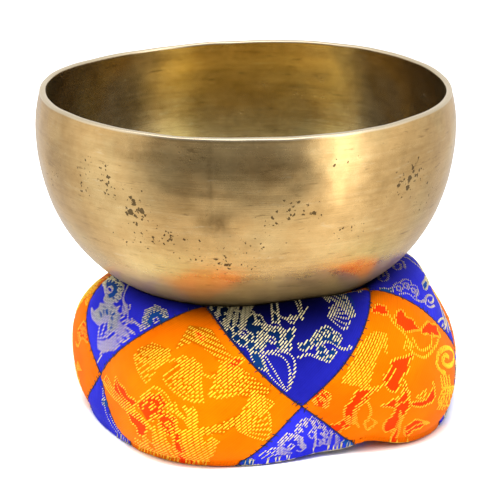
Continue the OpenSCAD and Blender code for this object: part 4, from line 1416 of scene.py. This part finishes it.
def add_tube(path, r, sides=6):
    global tb
    v, f, c = tube(path, r, sides)
    tv.append(v); t4.append(f + tb); t3.append(c + tb)
    tb += len(v)


sr = np.random.default_rng(77)
for k in range(NROW):
    for s_ in range(4):
        for dirn in (1, -1):
            # seam from the corner (a, s_) to (a + 36 degrees, s_ + dirn)
            a_c = TURN + PITCH * (k + (0.5 if s_ % 2 == 0 else 0.0))
            f = np.linspace(0.004, 0.996, 60)
            p_, n_ = skin(a_c + PITCH / 2 * f, s_ + dirn * f, -0.05)
            add_tube(limit(p_ + n_ * 0.18, 0.35), 0.17, 6)
            # whip stitches across the seam, every 2.6 mm or so
            m_ = 20
            for q_ in (np.arange(m_) + 0.5 + sr.uniform(-0.22, 0.22, m_)) / m_:
                if sr.random() < 0.15:
                    continue
                w_ = sr.uniform(0.55, 1.15) / SIDE_MM / 2
                sk = sr.uniform(-0.25, 0.25) / SIDE_MM
                tt = np.linspace(-1, 1, 5)
                aa = a_c + PITCH / 2 * (q_ + sk * tt - w_ * tt * 1.0)
                ss = s_ + dirn * (q_ + sk * tt + w_ * tt * 1.0)
                pp, _ = skin(aa, ss, 0.10 + 0.08 * (1 - tt ** 2))
                add_tube(pp, 0.12, 5)
seams = make("seam_stitching", np.concatenate(tv), [np.concatenate(t4), np.concatenate(t3)], [THREAD])
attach(seams, "cushion")
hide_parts("seam_thread")

# ================================================================== STAGE
def stage_mat(name, col, rough=0.9):
    m, nt, p = new_mat(name)
    p.inputs["Base Color"].default_value = (*col, 1)
    p.inputs["Roughness"].default_value = rough
    p.inputs["Specular IOR Level"].default_value = 0.1
    return m


bpy.ops.mesh.primitive_plane_add(size=1, location=(0, 0, 0))
floor = bpy.context.active_object
floor.name = "floor"
floor.scale = (6, 6, 1)
floor.location = (0, 2.55, -0.0002)
floor.data.materials.append(stage_mat("pale_floor", (0.93, 0.93, 0.93)))
floor.visible_glossy = False      # the metal sees the room's own bright and dark fields below the horizon

# the room as the metal sees it: turn from the front in half turns (left negative), brightness
world = bpy.data.worlds.new("studio")
bpy.context.scene.world = world
world.use_nodes = True
wn = world.node_tree
bg = next(n for n in wn.nodes if n.type == "BACKGROUND")
out = next(n for n in wn.nodes if n.type == "OUTPUT_WORLD")
tc = wn.nodes.new("ShaderNodeTexCoord")
sp = wn.nodes.new("ShaderNodeSeparateXYZ")
link(wn, tc.outputs["Generated"], sp.inputs[0])
azim = math_node(wn, "ARCTAN2", sp.outputs[0], math_node(wn, "MULTIPLY", sp.outputs[1], -1.0))
azim = math_node(wn, "MULTIPLY_ADD", azim, 0.5 / math.pi)
wn.nodes[-1].inputs[2].default_value = 0.5


def band(stops):
    """Brightness by turn. A ramp holds no value over 1, so the stops are stored at a quarter."""
    quarter = ramp(wn, azim, [((deg_ + 180) / 360, (v / 4,) * 3) for deg_, v in stops], "B_SPLINE")
    up_ = node(wn, "ShaderNodeVectorMath", operation="SCALE", inputs={"Scale": 4.0})
    link(wn, quarter, up_.inputs[0])
    return up_.outputs[0]


level = band([(-180, 0.80), (-150, 0.75), (-122, 0.55), (-95, 0.93), (-72, 1.0), (-60, 0.70), (-48, 0.24), (-38, 0.16), (0, 0.16),
              (26, 0.16), (34, 0.36), (41, 0.9), (47, 2.1), (54, 3.3), (60, 2.0), (67, 1.05), (76, 1.0), (92, 0.90), (122, 0.50), (150, 0.75), (180, 0.80)])
lowb = band([(-180, 0.80), (-135, 0.65), (-95, 0.95), (-75, 1.0), (-60, 0.85), (-42, 0.75), (-15, 0.82), (15, 0.80), (28, 0.98),
             (42, 1.1), (60, 1.05), (75, 1.0), (100, 0.90), (135, 0.65), (180, 0.80)])
highb = band([(-180, 0.7), (-120, 0.6), (-80, 1.0), (-60, 0.9), (-38, 0.35), (0, 0.28), (30, 0.35), (50, 1.0), (75, 0.9), (120, 0.6), (180, 0.7)])
el = sp.outputs[2]
near = ramp(wn, math_node(wn, "MULTIPLY", el, -1.0), [(0.36, (0,) * 3), (0.62, (1,) * 3)], "EASE")
c1 = mix(wn, near, level, lowb)
deepm = ramp(wn, math_node(wn, "MULTIPLY", el, -1.0), [(0.62, (0,) * 3), (0.86, (1,) * 3)], "EASE")
c1 = mix(wn, deepm, c1, (1.15, 1.12, 1.08))
upm = ramp(wn, el, [(0.10, (0,) * 3), (0.42, (1,) * 3)], "EASE")
c1 = mix(wn, upm, c1, highb)
topm = ramp(wn, el, [(0.50, (0,) * 3), (0.80, (1,) * 3)], "EASE")
fore = ramp(wn, math_node(wn, "MULTIPLY_ADD", sp.outputs[1], -0.5), [(0.40, (0,) * 3), (0.62, (1,) * 3)], "EASE")
wn.nodes[-2].inputs[2].default_value = 0.5
c1 = mix(wn, topm, c1, mix(wn, fore, (0.75, 0.76, 0.78), (2.1, 2.1, 2.15)))
link(wn, c1, bg.inputs["Color"])
bg.inputs["Strength"].default_value = 1.0
bg2 = wn.nodes.new("ShaderNodeBackground")
bg2.inputs["Color"].default_value = (1, 1, 1, 1)
bg2.inputs["Strength"].default_value = 1.0
lp = wn.nodes.new("ShaderNodeLightPath")
mx = wn.nodes.new("ShaderNodeMixShader")
link(wn, lp.outputs["Is Camera Ray"], mx.inputs["Fac"])
link(wn, bg.outputs[0], mx.inputs[1])
link(wn, bg2.outputs[0], mx.inputs[2])
link(wn, mx.outputs[0], out.inputs["Surface"])


def area(name, az, el, dist, w, h, power, color=(1, 1, 1), aim=(0, 0, 0.06)):
    """A softbox az degrees from the front towards +X and el degrees up."""
    li = bpy.data.lights.new(name, "AREA")
    li.shape, li.size, li.size_y, li.energy, li.color = "RECTANGLE", w, h, power, color
    o = bpy.data.objects.new(name, li)
    a, e = math.radians(az), math.radians(el)
    o.location = Vector(aim) + dist * Vector((math.sin(a) * math.cos(e), -math.cos(a) * math.cos(e), math.sin(e)))
    o.rotation_mode = "QUATERNION"
    o.rotation_quaternion = (Vector(aim) - o.location).to_track_quat("-Z", "Y")
    bpy.context.scene.collection.objects.link(o)
    return o


for o in (area("softbox_top", -6, 73, 1.3, 0.9, 0.42, 27.0), area("softbox_left", -62, 52, 1.2, 0.4, 0.4, 3.0)):
    o.visible_glossy = False

# ------------------------------------------------------------------ camera, at the photographed angle
cam_d = bpy.data.cameras.new("camera")
cam_d.lens, cam_d.sensor_width, cam_d.clip_start, cam_d.clip_end = 222.98, 36.0, 0.05, 50
cam = bpy.data.objects.new("camera", cam_d)
cam.location = ((BX + 1.33) * MM, -1.0, (BZ + BH + 244.5) * MM)
cam.rotation_euler = (math.radians(90 - 16.62), 0, 0)
bpy.context.scene.collection.objects.link(cam)
bpy.context.scene.camera = cam
vs = bpy.context.scene.view_settings
vs.view_transform, vs.look, vs.exposure, vs.gamma = "Standard", "None", 0.0, 1.0
